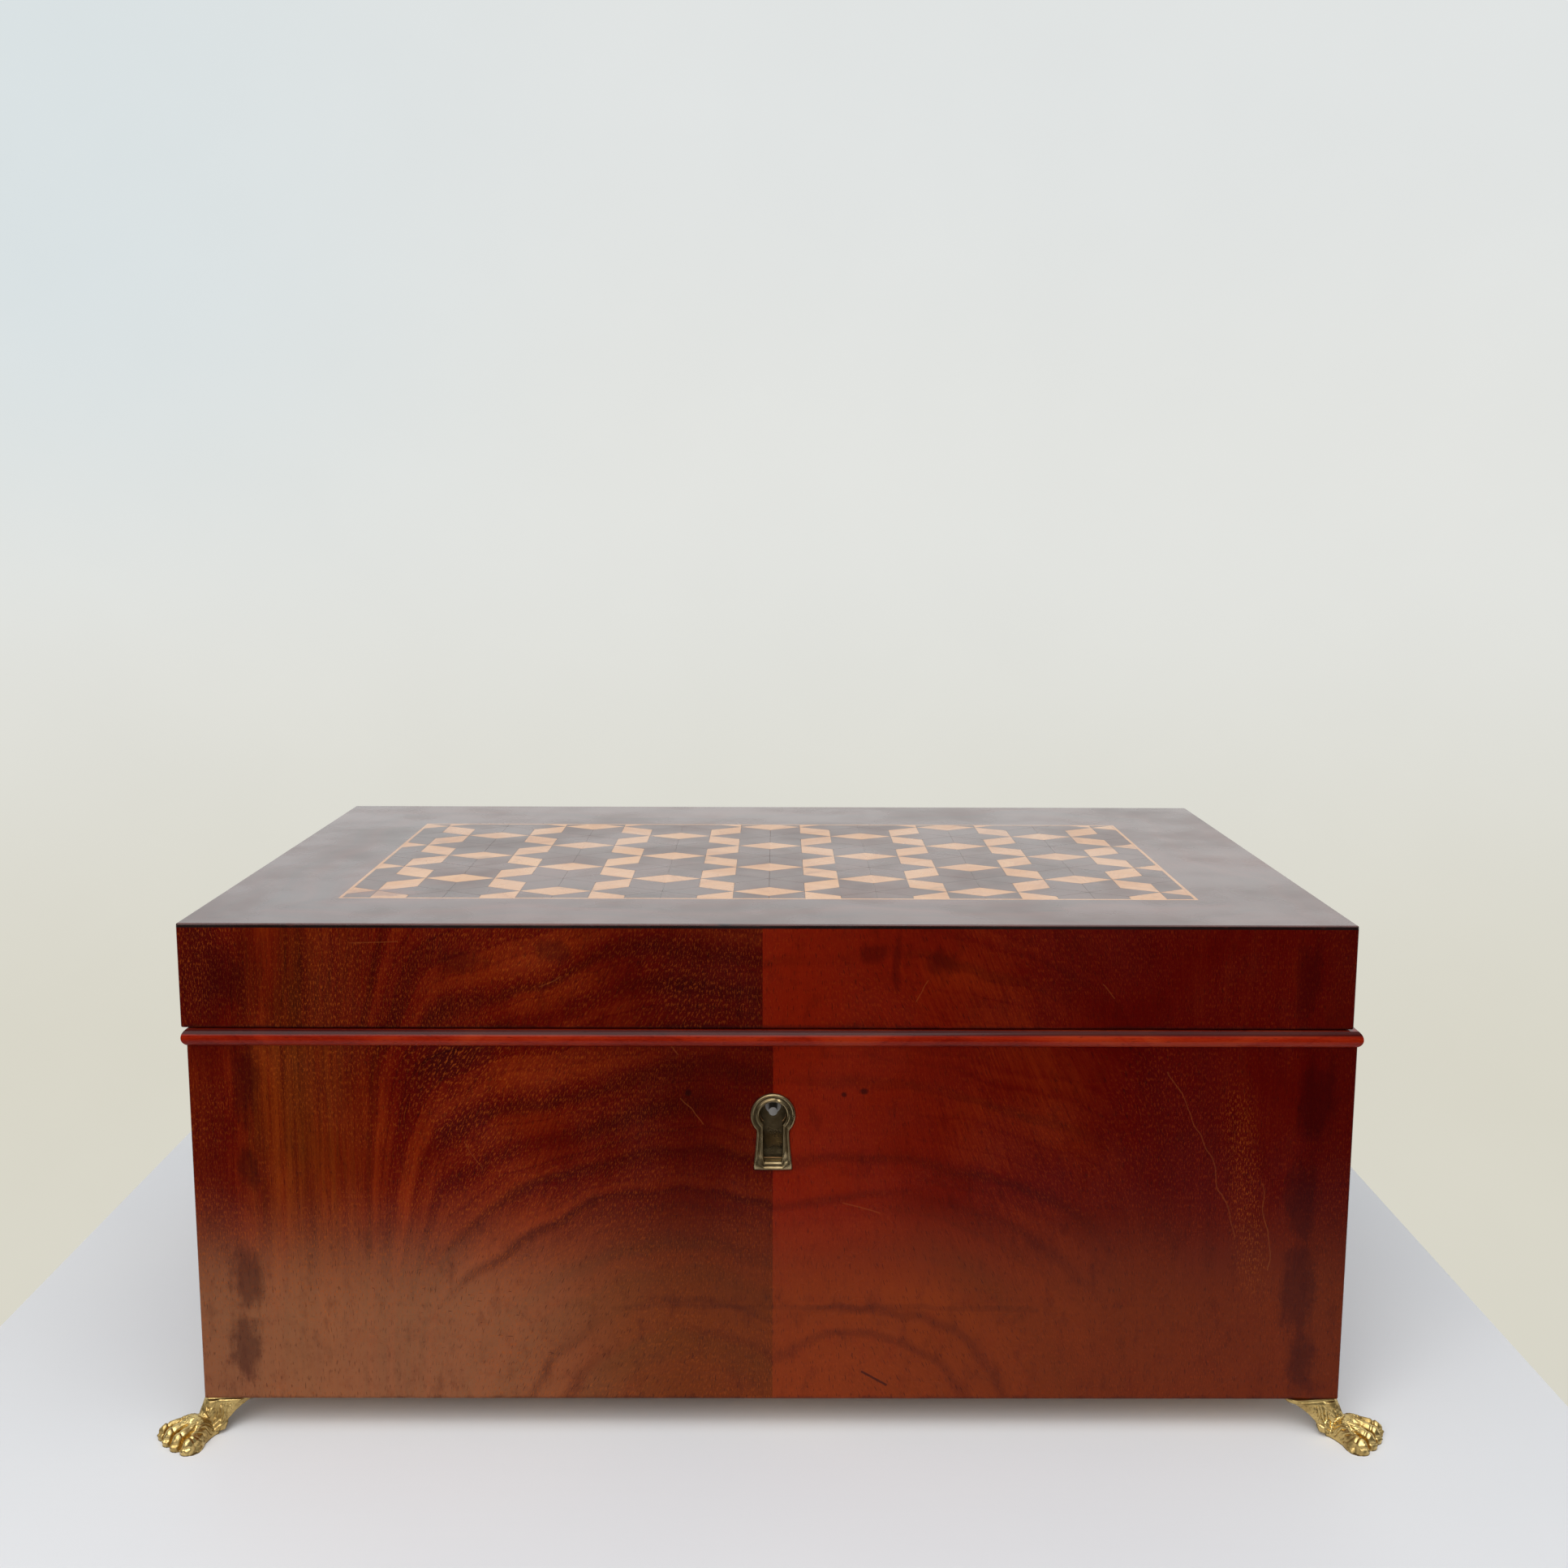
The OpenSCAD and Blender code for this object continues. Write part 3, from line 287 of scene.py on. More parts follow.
# Distances of the plainest arches from the middle of the rings, and how dark they are
ARCHES = (31, 40, 73, 85, 106)
ARCH_SHARE = {LEFT: 0.5, RIGHT: 0.34}

# Dark stains near the outer ends: place and radii
STAINS = {
    (LEFT, BODY): (((149, 96), (3.2, 12)), ((149.5, 70), (3, 6)), ((151, 37), (4.4, 9)),
                   ((152.5, 15), (4, 10))),
    (RIGHT, BODY): (((153.7, 90), (5.5, 10)), ((151.6, 61), (4.4, 12)), ((151.3, 34), (4.6, 14)),
                    ((153.6, 11), (4, 9))),
    (LEFT, LID): (((154, 14), (4.5, 10)), ((62, 22), (5, 3)), ((88, 19), (7, 3))),
    (RIGHT, LID): (((150, 14), (3.6, 11)), ((47.7, 19), (4.6, 3.2)), ((34.6, 19), (1.3, 8)),
                   ((28, 22), (4, 3)))}
STAIN_SHARE = {BODY: 0.55, LID: 0.42}

# Pale scratches: start and end
SCRATCHES = {
    (LEFT, BODY): (((26.3, 91), (19.4, 83.5)), ((27, 104), (30, 109)), ((88, 78), (84, 70)),
                   ((131, 33), (128, 20))),
    (RIGHT, BODY): (((112, 99), (126, 72)), ((126, 72), (132, 50)), ((140, 66), (143, 40)),
                    ((20, 60), (30, 57))),
    (LEFT, LID): (((118, 24.5), (104, 24.9)), ((60, 15), (66, 12))),
    (RIGHT, LID): (((40, 8), (43, 14)), ((96, 9), (92, 13)))}
SCRATCH_W, SCRATCH_SHARE = 0.25, 0.13

# Small filled holes beside the escutcheon: place and radii
HOLES = {LEFT: (((24, 92.6), (1.0, 1.0)),),
         RIGHT: (((20.1, 92.2), (0.8, 0.8)), ((25.8, 93.2), (1.2, 1.0)))}
# A dark line low on the body, which crosses the seam: start, end and strength
LOW_LINE = {LEFT: ((0, 28.6), (46, 28.4), 0.2), RIGHT: ((0, 28.8), (76, 28.2), 0.22)}
LOW_LINE_W = 1.1
# A cut in the right leaf, and the field of small dents in the left one
CUT = ((26, 8.5), (33, 4.5))
CUT_W = 0.5
DENTS = ((92, 26), (42, 20))


class Leaf:
    """One leaf of a front: its coordinates, its grain and the noises that its colours share."""

    def __init__(self, name, side, lid):
        g = Graph(name)
        x, self.y, z, at = g.place()
        self.g, self.at = g, at
        self.side, self.lid, self.left = side, lid, side == LEFT
        self.out, self.up = x * float(side), z - (LID_Z if lid else UNDERSIDE)
        self.warp = g.noise(at, 0.022, 2)
        self.small = g.noise(at, 0.09, 2)
        self.ragged = g.noise(at, 0.16, 4, 0.7)
        self.broad = g.noise(at, 0.02, 2)
        dx, dz = (self.out - RING_OUT) / RING_STRETCH, self.up - RING_UP[lid]
        self.reach = (dx * dx + dz * dz).root() + (self.warp - 0.5) * 15 + (self.small - 0.5) * 2.5
        lean = g.step(self.out, *LEAN_IN) * g.step(self.out, *LEAN_OUT)
        across = self.out + lean * (self.up - LEAN_FROM) * LEAN
        self.fibre, self.pores = grain(g, self.up, across, self.y)
        self.flecks_and_glints = golden_flecks_and_glints(g, self.up, across, self.y)

    def streaks(self, out_scale, up_scale, detail, rough):
        """Noise with a scale of its own along the leaf and up it."""
        at = self.g.vector(self.out * out_scale, self.y, self.up * up_scale)
        return self.g.noise(at, 1.0, detail, rough)


def leaf_figure(leaf):
    """Growth rings that rise as arches near the seam and as upright stripes far from it."""
    g = leaf.g
    far = g.step(leaf.out, *STRIPES)
    stripes = leaf.out + (leaf.warp - 0.5) * 16 + 40
    rings = (leaf.reach * (1 - far) + stripes * far) / RING_STEP + RING_SEED[leaf.side]
    return figure(g, rings, leaf.fibre, leaf.broad, DARK, MIDDLE, LIGHT, CONTRAST[leaf.side])


def left_tones(leaf, colour):
    """Golden stripes near the left end, and a darker seam."""
    g, out = leaf.g, leaf.out
    upright = g.step(leaf.streaks(0.5, 0.012, 3, 0.6), 0.35, 0.65)
    gold = g.step(out, 106.0, 132.0) * g.step(out, 154.0, 142.0) * (upright * 0.7 + 0.3)
    colour = g.mix(gold * (0.2 if leaf.lid else 0.5), colour, seen(122, 52, 9))
    return g.mix(g.step(out, 80.0, 15.0) * 0.55, colour, seen(54, 4, 2))


def right_tones(leaf, colour):
    """A bright seam, a dark right half and, on the body, a golden streak of flecks and painted glints near
    the end.
    """
    g, out = leaf.g, leaf.out
    colour = g.mix(g.step(out, 75.0, 0.0) * 0.7, colour, seen(114, 22, 4))
    colour = g.mix(g.step(out, 50.0, 115.0) * 0.7, colour, seen(66, 1, 1))
    if leaf.lid:
        return colour
    streak = g.step((out - 134.0 + (leaf.up - 72.0) * 0.12).absolute(), 7.0, 1.0)
    streak = streak * g.step((leaf.up - 62.0).absolute(), 40.0, 20.0)
    return g.mix(streak * 0.4 * leaf.flecks_and_glints, colour, seen(150, 74, 20))


def painted_table_reflection(leaf, colour):
    """A painted reflection of the pale table: lighter, tan polish over the lower half of the body."""
    g, out, ragged = leaf.g, leaf.out, leaf.ragged
    height = leaf.up + (leaf.warp - 0.5) * 14 + (ragged - 0.5) * 5
    polish_patch = g.step(height, 66.0, 26.0) * g.step(ragged, 0.1, 0.55, 0.75, 1.15)
    if leaf.left:
        tan = g.mix(g.step(out, 20.0, 95.0), seen(116, 54, 4), seen(138, 90, 58))
        return g.mix(polish_patch * (g.step(out, 0.0, 80.0) * 0.18 + 0.36), colour, tan)
    return g.mix(polish_patch * (g.step(out, 150.0, 10.0) * 0.2 + 0.32), colour, seen(112, 48, 6))


def arches(leaf, colour):
    """The plainest rings, as dark bows over the seam."""
    g = leaf.g
    bows = most_of([g.step((leaf.reach - float(r)).absolute(), 2.4, 0.2) for r in ARCHES])
    shown = g.step(leaf.out, 112.0, 70.0) * g.step(leaf.broad, 0.3, 0.6)
    return g.mix(bows * shown * ARCH_SHARE[leaf.side], colour, DARK)


def fine_grain(leaf, colour):
    """Golden flecks that are partly the wood's own and partly painted glints, a dark mottle and pores."""
    g = leaf.g
    # Painted shimmer: the flecks show as glints more in some places than in others
    glitter = g.step(g.noise(leaf.at, 0.03, 2), 0.3, 0.62, 0.25, 1.0)
    if leaf.left:
        glitter = glitter * g.step(leaf.out, 0.0, 70.0, 0.3, 0.55)
        colour = g.mix(leaf.flecks_and_glints * glitter, colour, seen(146, 66, 14))
    else:
        colour = g.mix(leaf.flecks_and_glints * (glitter * 0.27), colour, seen(140, 52, 10))
    mottle = g.step(leaf.streaks(0.22, 0.09, 4, 0.7), 0.5, 0.72)
    colour = g.mix(mottle * 0.3, colour, DARK)
    return g.mix(leaf.pores * 0.5, colour, NEAR_BLACK)


def dark_marks(leaf, wobble):
    """How much of each place on the body's front is a hole, a cut, a dent or the dark line."""
    g, out, up = leaf.g, leaf.out, leaf.up
    marks = [g.ellipse(out, up, *hole, 0.4, wobble * 0.5) for hole in HOLES[leaf.side]]
    start, end, share = LOW_LINE[leaf.side]
    marks.append(g.stroke(out, up + (leaf.small - 0.5) * 4, start, end, LOW_LINE_W) * share)
    if leaf.left:
        dents = g.step(leaf.streaks(0.35, 1.1, 3, 0.6), 0.64, 0.72)
        marks.append(dents * g.ellipse(out, up, *DENTS, 0.6, wobble))
    else:
        marks.append(g.stroke(out, up, *CUT, CUT_W))
    return most_of(marks)


def wear_and_edge_shade(leaf, colour):
    """Stains, scratches, dark marks and painted shade along the lower edge."""
    g, out, up = leaf.g, leaf.out, leaf.up
    which = (leaf.side, leaf.lid)
    wobble = (leaf.streaks(0.3, 0.07, 4, 0.65) - 0.5) * 1.9 + (leaf.ragged - 0.5) * 1.2
    stain = most_of([g.ellipse(out, up, *spot, 0.45, wobble) for spot in STAINS[which]])
    colour = g.mix(stain * STAIN_SHARE[leaf.lid], colour, seen(38, 2, 3))
    bent = out + (leaf.small - 0.5) * 5
    scratch = most_of([g.stroke(bent, up, *ends, SCRATCH_W) for ends in SCRATCHES[which]])
    colour = g.mix(scratch * SCRATCH_SHARE, colour, seen(170, 96, 44))
    if not leaf.lid:
        colour = g.mix(dark_marks(leaf, wobble) * 0.75, colour, NEAR_BLACK)
    # Painted shade: the lowest 1.2 mm of each leaf is darkened
    edge = g.step(up + (leaf.ragged - 0.5) * 3, 1.2, 0.0)
    return g.mix(edge * 0.5, colour, NEAR_BLACK)


def front_mahogany(name, side, lid):
    leaf = Leaf(name, side, lid)
    tones = left_tones if leaf.left else right_tones
    colour = tones(leaf, leaf_figure(leaf))
    colour = leaf.g.mix(leaf.g.step(leaf.out, 150.0, 160.0) * 0.5, colour, seen(62, 5, 3))
    # Painted reflection of the pale table over the lower half of the body
    if not lid:
        colour = painted_table_reflection(leaf, colour)
    colour = wear_and_edge_shade(leaf, fine_grain(leaf, arches(leaf, colour)))
    return varnish(leaf.g, colour, leaf.fibre, leaf.pores, rough=0.26, level=0.12)


# The other woods

# Worn places on the borders of the top: place, radii and strength
TOP_MARKS = (((80.9, -82.8), (3.6, 0.9), 0.85), ((17.8, -89.6), (11, 3.4), 0.25),
             ((-13.6, -100.6), (2.2, 1.0), 0.9), ((-141, -70), (8, 10), 0.2), ((120, 84), (12, 4), 0.25))
SCORCH = ((-118.5, -60.7), (9, 5))
FULL_TURN = 6.283


def top_marks(g, place, colour):
    """Dark marks on the top, and the dark edge of its veneer with a few pale chips."""
    x, y, z, at = place
    ragged = (g.noise(at, 0.3, 3, 0.7) - 0.5) * 1.4
    for where, radii, strength in TOP_MARKS:
        colour = g.mix(g.ellipse(x, y, where, radii, 0.35, ragged) * strength, colour, NEAR_BLACK)
    edge = g.step(z, TOP_Z / MM - 0.3, TOP_Z / MM - 0.5)
    chips = g.step(g.noise(g.vector(x * 0.16, y * 0.16, z), 1.0, 4, 0.75), 0.62, 0.7)
    return g.mix(edge * (1 - chips * 0.6), colour, seen(20, 5, 4))


def bead_nose_shade(g, place, axis, half, colour):
    """Painted shade under the lid's edge, on the nose of the bead that stands out of the walls along an
    axis.
    """
    nose = g.step(place[axis].absolute(), half - 0.3, half + 0.1)
    return g.mix(g.step(place[2], RIM_Z - 1.5, RIM_Z - 0.9) * nose * 0.85, colour, NEAR_BLACK)


def plain_mahogany(name, axes, seed, tones=(DARK, MIDDLE, LIGHT), rough=0.2, level=0.25, haze=0.0,
                   top=False, bead=None):
    """Straight-grained veneer. axes says which of 0, 1 and 2 run along, across and through its grain."""
    g = Graph(name)
    place = g.place()
    at = place[3]
    along, across, through = (place[axis] for axis in axes)
    rings = (across + (g.noise(at, 0.015, 2) - 0.5) * 60) / 8.0 + seed
    fibre, pores = grain(g, along, across, through)
    colour = figure(g, rings, fibre, g.noise(at, 0.018, 2), *tones, 0.55)
    # Golden flecks, partly the wood's own and partly painted glints
    colour = g.mix(golden_flecks_and_glints(g, along, across, through) * 0.25, colour, tones[2])
    colour = g.mix(pores * 0.35, colour, NEAR_BLACK)
    if top:
        colour = top_marks(g, place, colour)
    if bead:
        # Painted shade on the bead's nose, under the lid's edge
        colour = bead_nose_shade(g, place, *bead, colour)
    return varnish(g, colour, fibre, pores, rough, level, haze)


def tile_wood(name, tones, seed):
    """Parquetry tiles: each tile is turned and toned on its own."""
    g = Graph(name)
    x, y, z, at = g.place()
    island = g.out(g.node("ShaderNodeNewGeometry"), "Random Per Island")
    turn = island * FULL_TURN
    c, s = g.math("COSINE", turn), g.math("SINE", turn)
    along, across = x * c + y * s, y * c - x * s
    fibre, pores = grain(g, along, across + island * 300, z)
    colour = figure(g, across / 7 + island * 90 + seed, fibre, g.noise(at, 0.02, 2), *tones, 0.5)
    colour = g.mix(island * 0.35, colour, tones[0])
    # Polish rubbed away in patches, dark specks, and one tile that was scorched
    polish_patch = g.step(g.noise(at, 0.05, 4, 0.65), 0.6, 0.72)
    colour = g.mix(polish_patch * 0.3, colour, NEAR_BLACK)
    speck = g.step(g.noise(at, 0.7, 3, 0.7), 0.7, 0.78)
    colour = g.mix(speck * 0.5, colour, srgb(24, 10, 8))
    scorch = g.ellipse(x, y, *SCORCH, 0.5, (g.noise(at, 0.2, 3, 0.7) - 0.5) * 2)
    colour = g.mix(scorch * 0.6, colour, srgb(120, 62, 44))
    colour = g.mix(pores * 0.35, colour, srgb(60, 26, 14))
    return varnish(g, colour, fibre, pores, rough=0.3, level=0.5, haze=TOP_HAZE)


def inner_wood(name, step, tones, rough):
    """Plain wood of the carcass and the fittings, with its grain along x and y."""
    g = Graph(name)
    x, y, z, at = g.place()
    rings = (z + x * 0.1 + y * 0.1 + g.noise(at, 0.012, 2) * 50) / step
    fibre, pores = grain(g, x + y, z, y - x)
    colour = figure(g, rings, fibre, g.noise(at, 0.02, 2), *tones, 0.6)
    colour = g.mix(pores * 0.35, colour, tones[0])
    return g.finish(**{"Base Color": colour, "Roughness": rough,
                       "Normal": g.bump(fibre - pores, 0.4, 0.1 * MM)})


# Metal and cloth

def metal(name, bright, dull, rough, grime, scale=1.2):
    """Worn metal: dull and dark in the hollows, bright where hands rub it."""
    g = Graph(name)
    at = g.place()[3]
    cloud = g.noise(at, scale * 0.12, 4, 0.6)
    speck = g.noise(at, scale, 4, 0.65)
    point = g.out(g.node("ShaderNodeNewGeometry"), "Pointiness")
    hollow = g.step(point, 0.50, 0.43)
    colour = g.mix(g.step(cloud, 0.4, 0.7), bright, dull)
    dirt = (hollow + g.step(speck, 0.62, 0.8) * 0.5).least(1.0)
    colour = g.mix(dirt * 0.85, colour, grime)
    roughness = g.step(cloud, 0.3, 0.7, rough * 0.75, rough * 1.3) + dirt * 0.25
    return g.finish(**{"Base Color": colour, "Metallic": 1.0, "Roughness": roughness,
                       "Normal": g.bump(speck, 0.25, 0.2 * MM)})


def baize():
    g = Graph("baize_lining")
    at = g.place()[3]
    felt = g.noise(at, 3.0, 4, 0.7)
    colour = g.mix(g.noise(at, 0.03, 2), srgb(22, 66, 40), srgb(34, 84, 52))
    colour = g.mix(felt * 0.5, colour, srgb(12, 44, 26))
    return g.finish(**{"Base Color": colour, "Roughness": 0.95, "Sheen Weight": 0.4,
                       "Normal": g.bump(felt, 0.6, 0.3 * MM)})


STAR_TONES = (srgb(50, 20, 16), srgb(78, 36, 26), srgb(98, 50, 36))
LIGHT_TONES = (srgb(196, 134, 82), srgb(224, 164, 108), srgb(236, 184, 130))
TOP_TONES = (srgb(52, 18, 13), srgb(74, 28, 20), srgb(96, 44, 32))
BEAD_TONES = (seen(92, 8, 3), seen(132, 28, 8), seen(154, 50, 20))
PINE_TONES = (srgb(140, 96, 56), srgb(176, 130, 82), srgb(196, 152, 104))
CEDAR_TONES = (srgb(84, 40, 20), srgb(122, 66, 34), srgb(150, 90, 50))

TOP_POLISH = {"tones": TOP_TONES, "rough": 0.26, "level": 0.65, "haze": TOP_HAZE, "top": True}
BEAD_POLISH = {"tones": BEAD_TONES, "rough": 0.13, "level": 0.12}

paw_brass = metal("paw_brass", srgb(214, 186, 122), srgb(176, 146, 88), 0.3, srgb(78, 60, 34))
aged_brass = metal("aged_brass", srgb(158, 140, 106), srgb(120, 102, 72), 0.3, srgb(52, 42, 30))
hinge_brass = metal("hinge_brass", srgb(190, 158, 98), srgb(146, 116, 66), 0.34, srgb(66, 50, 28), 0.8)
# Near-black brass for the lock's cap: painted shade seen through the keyhole
keyhole_shade_brass = metal("keyhole_shade_brass", srgb(38, 32, 24), srgb(24, 20, 15), 0.5, srgb(10, 8, 6))
pin_steel = metal("pin_steel", srgb(226, 224, 220), srgb(200, 198, 192), 0.4, srgb(120, 116, 110))
dull_steel = metal("dull_steel", srgb(150, 146, 140), srgb(96, 92, 88), 0.4, srgb(60, 50, 42))
side_wood = plain_mahogany("side_mahogany", (2, 1, 0), 5.0)
back_wood = plain_mahogany("back_mahogany", (2, 0, 1), 15.0)
top_wood = plain_mahogany("top_mahogany", (0, 1, 2), 24.0, **TOP_POLISH)
top_end_wood = plain_mahogany("top_end_mahogany", (1, 0, 2), 31.0, **TOP_POLISH)
bead_wood = plain_mahogany("bead_mahogany", (0, 2, 1), 9.0, bead=(1, HALF_D), **BEAD_POLISH)
bead_side_wood = plain_mahogany("bead_side_mahogany", (1, 2, 0), 9.0, bead=(0, HALF_W), **BEAD_POLISH)

BY_NODE = {
    "front_veneer_left": front_mahogany("front_left_mahogany", LEFT, BODY),
    "front_veneer_right": front_mahogany("front_right_mahogany", RIGHT, BODY),
    "lid_veneer_front_left": front_mahogany("lid_left_mahogany", LEFT, LID),
    "lid_veneer_front_right": front_mahogany("lid_right_mahogany", RIGHT, LID),
    "side_veneer_left": side_wood, "side_veneer_right": side_wood, "lid_veneer_sides": side_wood,
    "back_veneer": back_wood, "lid_veneer_back": back_wood,
    "bead_front": bead_wood, "bead_back": bead_wood, "bead_sides": bead_side_wood,
    "star_rhombi": tile_wood("star_wood", STAR_TONES, 3.0),
    "light_rhombi": tile_wood("light_wood", LIGHT_TONES, 7.0),
    "stringing": tile_wood("stringing_wood", LIGHT_TONES, 17.0),
    "border_front_left": top_wood, "border_front_right": top_wood, "border_back": top_wood,
    "border_left": top_end_wood, "border_right": top_end_wood,
    "lock_cap": keyhole_shade_brass, "lock_drill_pin": pin_steel,
    "hinge_leaves_lower": hinge_brass, "hinge_leaves_upper": hinge_brass,
}
BY_SLOT = {
    "carcass_wood": inner_wood("carcass_pine", 6, PINE_TONES, 0.65),
    "cedar": inner_wood("cedar_wood", 5, CEDAR_TONES, 0.5),
    "brass": paw_brass, "old_brass": aged_brass, "steel": dull_steel, "baize": baize(),
}
for node, slot in SLOTS.items():
    materials = frame["nodes"][node].data.materials
    materials.clear()
    materials.append(BY_NODE.get(node) or BY_SLOT[slot])


# Shapes finer than the solids

def link(name, data):
    made = bpy.data.objects.new(name, data)
    bpy.context.scene.collection.objects.link(made)
    return made


def replace(node, name, shape, body="box", smooth=True):
    """Links a bmesh as a piece that takes the place of a CAD node."""
    mesh = bpy.data.meshes.new(name)
    for face in shape.faces:
        face.smooth = smooth
    shape.to_mesh(mesh)
    shape.free()
    mesh.materials.append(frame["nodes"][node].data.materials[0])
    made = link(name, mesh)
    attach(made, body)
    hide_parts(node)


# Outer edges of the veneers, rounded by wear

WEAR_R, WEAR_STEPS = 0.6 * MM, 3
SAME_POINT, SAME_PLANE, FLAT_ANGLE = 1e-6, 1e-5, 0.01
BODY_LOW, BODY_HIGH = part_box("front_veneer_left")[0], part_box("side_veneer_right")[1]
LID_LOW, LID_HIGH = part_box("lid_veneer_front_left")[0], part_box("border_right")[1]
# For each body, the places of its outer planes along x, y and z, and the nodes that lie on them
WORN = {
    "box": (((BODY_LOW[0], BODY_HIGH[0]), (FRONT_Y, BACK_Y), (BODY_LOW[2],)),
            ("front_veneer_left", "front_veneer_right", "back_veneer", "side_veneer_left",
             "side_veneer_right")),
    "lid": (((LID_LOW[0], LID_HIGH[0]), (FRONT_Y, BACK_Y), (LID_LOW[2], TOP_Z)),
            ("lid_veneer_front_left", "lid_veneer_front_right", "lid_veneer_back", "lid_veneer_sides",
             "border_front_left", "border_front_right", "border_back", "border_left", "border_right"))}


def on_planes(point, planes):
    """Which of the outer planes a point lies on."""
    return {(axis, at) for axis, places in enumerate(planes) for at in places
            if abs(point[axis] - at) < SAME_PLANE}


def soften(node, body, planes):
    """Rounds the edges of a node in which two outer planes meet."""
    shape = bmesh.new()
    shape.from_mesh(frame["nodes"][node].data)
    bmesh.ops.remove_doubles(shape, verts=shape.verts, dist=SAME_POINT)
    bmesh.ops.dissolve_limit(shape, angle_limit=FLAT_ANGLE, verts=shape.verts, edges=shape.edges)
    outer = [edge for edge in shape.edges
             if len(on_planes(edge.verts[0].co, planes) & on_planes(edge.verts[1].co, planes)) >= 2]
    bmesh.ops.bevel(shape, geom=outer, offset=WEAR_R, segments=WEAR_STEPS, profile=0.6, affect="EDGES",
                    clamp_overlap=True)
    bmesh.ops.triangulate(shape, faces=[face for face in shape.faces if len(face.verts) > 4])
    replace(node, "worn_" + node, shape, body, smooth=False)


for body, (planes, nodes) in WORN.items():
    for node in nodes:
        soften(node, body, planes)


# Paw feet: the casting of the CAD part on a fine grid, with hair, toes and claws cut into it.
# A foot's own frame points along +X from its corner of the box: u along, v across and z up, in millimetres.

FOOT_H = 10.5
PAW_L, PAW_W, TOE_ARCH, TOES = 12.6, 17.4, 1.9, 4
HEEL_U, HEEL_W = -2.1, 7.0
# Share of the paw's length at which it is at its widest
PALM = 0.85
VOXEL = 0.22
# Points lower than this rest on the ground
SOLE = 0.16
# Side of the box each foot is at, and its turn from the diagonal in degrees
FEET = {"foot_front_left": (-1, -1, -4), "foot_front_right": (1, -1, 8),
        "foot_back_left": (-1, 1, 8), "foot_back_right": (1, 1, -4)}
# Depths of the cuts between the toes, at the toes' joints, over the claws, and of coarse and fine hair
TOE_CUT, JOINT_CUT, CLAW_CUT, LOCK_CUT, HAIR_CUT = 0.62, 0.42, 0.3, 0.34, 0.14
# Joints: distance from the toes' tips and half width. Claws: height and half width
JOINT_AT, JOINT_W = 3.1, 0.42
CLAW_Z, CLAW_W = 2.1, 0.35
# Where the toes begin along the paw and end upwards, and where the hair ends above and below
TOES_FROM, TOES_UNDER = (5.6, 8.2), (7.0, 6.0)
HAIR_UNDER, HAIR_OVER = (9.2, 8.6), (0.6, 1.6)
# Faces whose normal points down more than this are left plain
DOWNWARD = -0.6


def foot_place(sx, sy, turn):
    """From a foot's own frame to the box's, in millimetres."""
    place = Matrix.Translation((sx * HALF_W, sy * HALF_D, 0))
    place = place @ Matrix.Diagonal((-1 if sx < 0 else 1, -1 if sy < 0 else 1, 1, 1))
    return place @ Matrix.Rotation(math.radians(45 - turn), 4, "Z")


def ease(value, low, high):
    """Eases from 0 to 1 as value goes from low to high."""
    t = min(1.0, max(0.0, (value - low) / (high - low)))
    return t * t * (3 - 2 * t)


def groove(distance, half_width):
    """1 in the middle of a rounded groove and near 0 outside it."""
    return math.exp(-(distance / half_width) ** 2)


def ridge(u, v, w):
    """A lock of hair: 0 in the cuts between locks and 1 on their backs."""
    n = noise.noise(Vector((u, v, w)))
    return 1 - min(1.0, abs(n) * 3.2)


def carve(p, normal):
    """How deep the chaser's tools go at a point of the paw, in millimetres."""
    if normal.z <= DOWNWARD:
        return 0.0
    u, v, z = p
    half = (HEEL_W + (PAW_W - HEEL_W) * ease(u, HEEL_U, HEEL_U + PALM * (PAW_L - HEEL_U))) / 2
    q = max(-1.0, min(1.0, v / half))
    from_tip = PAW_L - TOE_ARCH * q * q - u
    # 0 on a toe's back and 1 between two toes
    lobe = abs(TOES * (q + 1) / 2 % 1 - 0.5) * 2
    on_toes = ease(u, *TOES_FROM) * ease(z, *TOES_UNDER)
    deep = on_toes * (TOE_CUT * ease(lobe, 0.62, 1.0))
    deep += on_toes * JOINT_CUT * groove(from_tip - JOINT_AT, JOINT_W) * (1 - 0.5 * lobe)
    deep += on_toes * CLAW_CUT * groove(z - CLAW_Z, CLAW_W) * ease(from_tip, 2.2, 1.0)
    # Hair runs down the leg and forwards over the instep
    hairy = (1 - on_toes) * ease(z, *HAIR_UNDER) * ease(z, *HAIR_OVER)
    side = v * 1.25 + 0.35 * math.sin(u * 0.9)
    flow = (u - z) * 0.26
    locks = ridge(side, flow, 3.0 + z * 0.25)
    fine = ridge(side * 2.3, flow * 1.4, 9.0 + z * 0.5)
    return deep + hairy * (LOCK_CUT * locks ** 2 + HAIR_CUT * fine ** 2)


def fine_casting():
    """The front left foot's casting in its own frame, in millimetres, on a fine even grid."""
    source = frame["nodes"]["foot_front_left"].data.copy()
    source.transform(foot_place(*FEET["foot_front_left"]).inverted() @ Matrix.Scale(1 / MM, 4))
    holder = link("casting", source)
    grid = holder.modifiers.new("grid", "REMESH")
    grid.mode, grid.voxel_size = "VOXEL", VOXEL
    smooth = holder.modifiers.new("smooth", "SMOOTH")
    smooth.factor, smooth.iterations = 0.5, 3
    graph = bpy.context.evaluated_depsgraph_get()
    shape = bmesh.new()
    shape.from_mesh(bpy.data.meshes.new_from_object(holder.evaluated_get(graph)))
    bpy.data.objects.remove(holder)
    bmesh.ops.recalc_face_normals(shape, faces=shape.faces)
    shape.normal_update()
    return shape


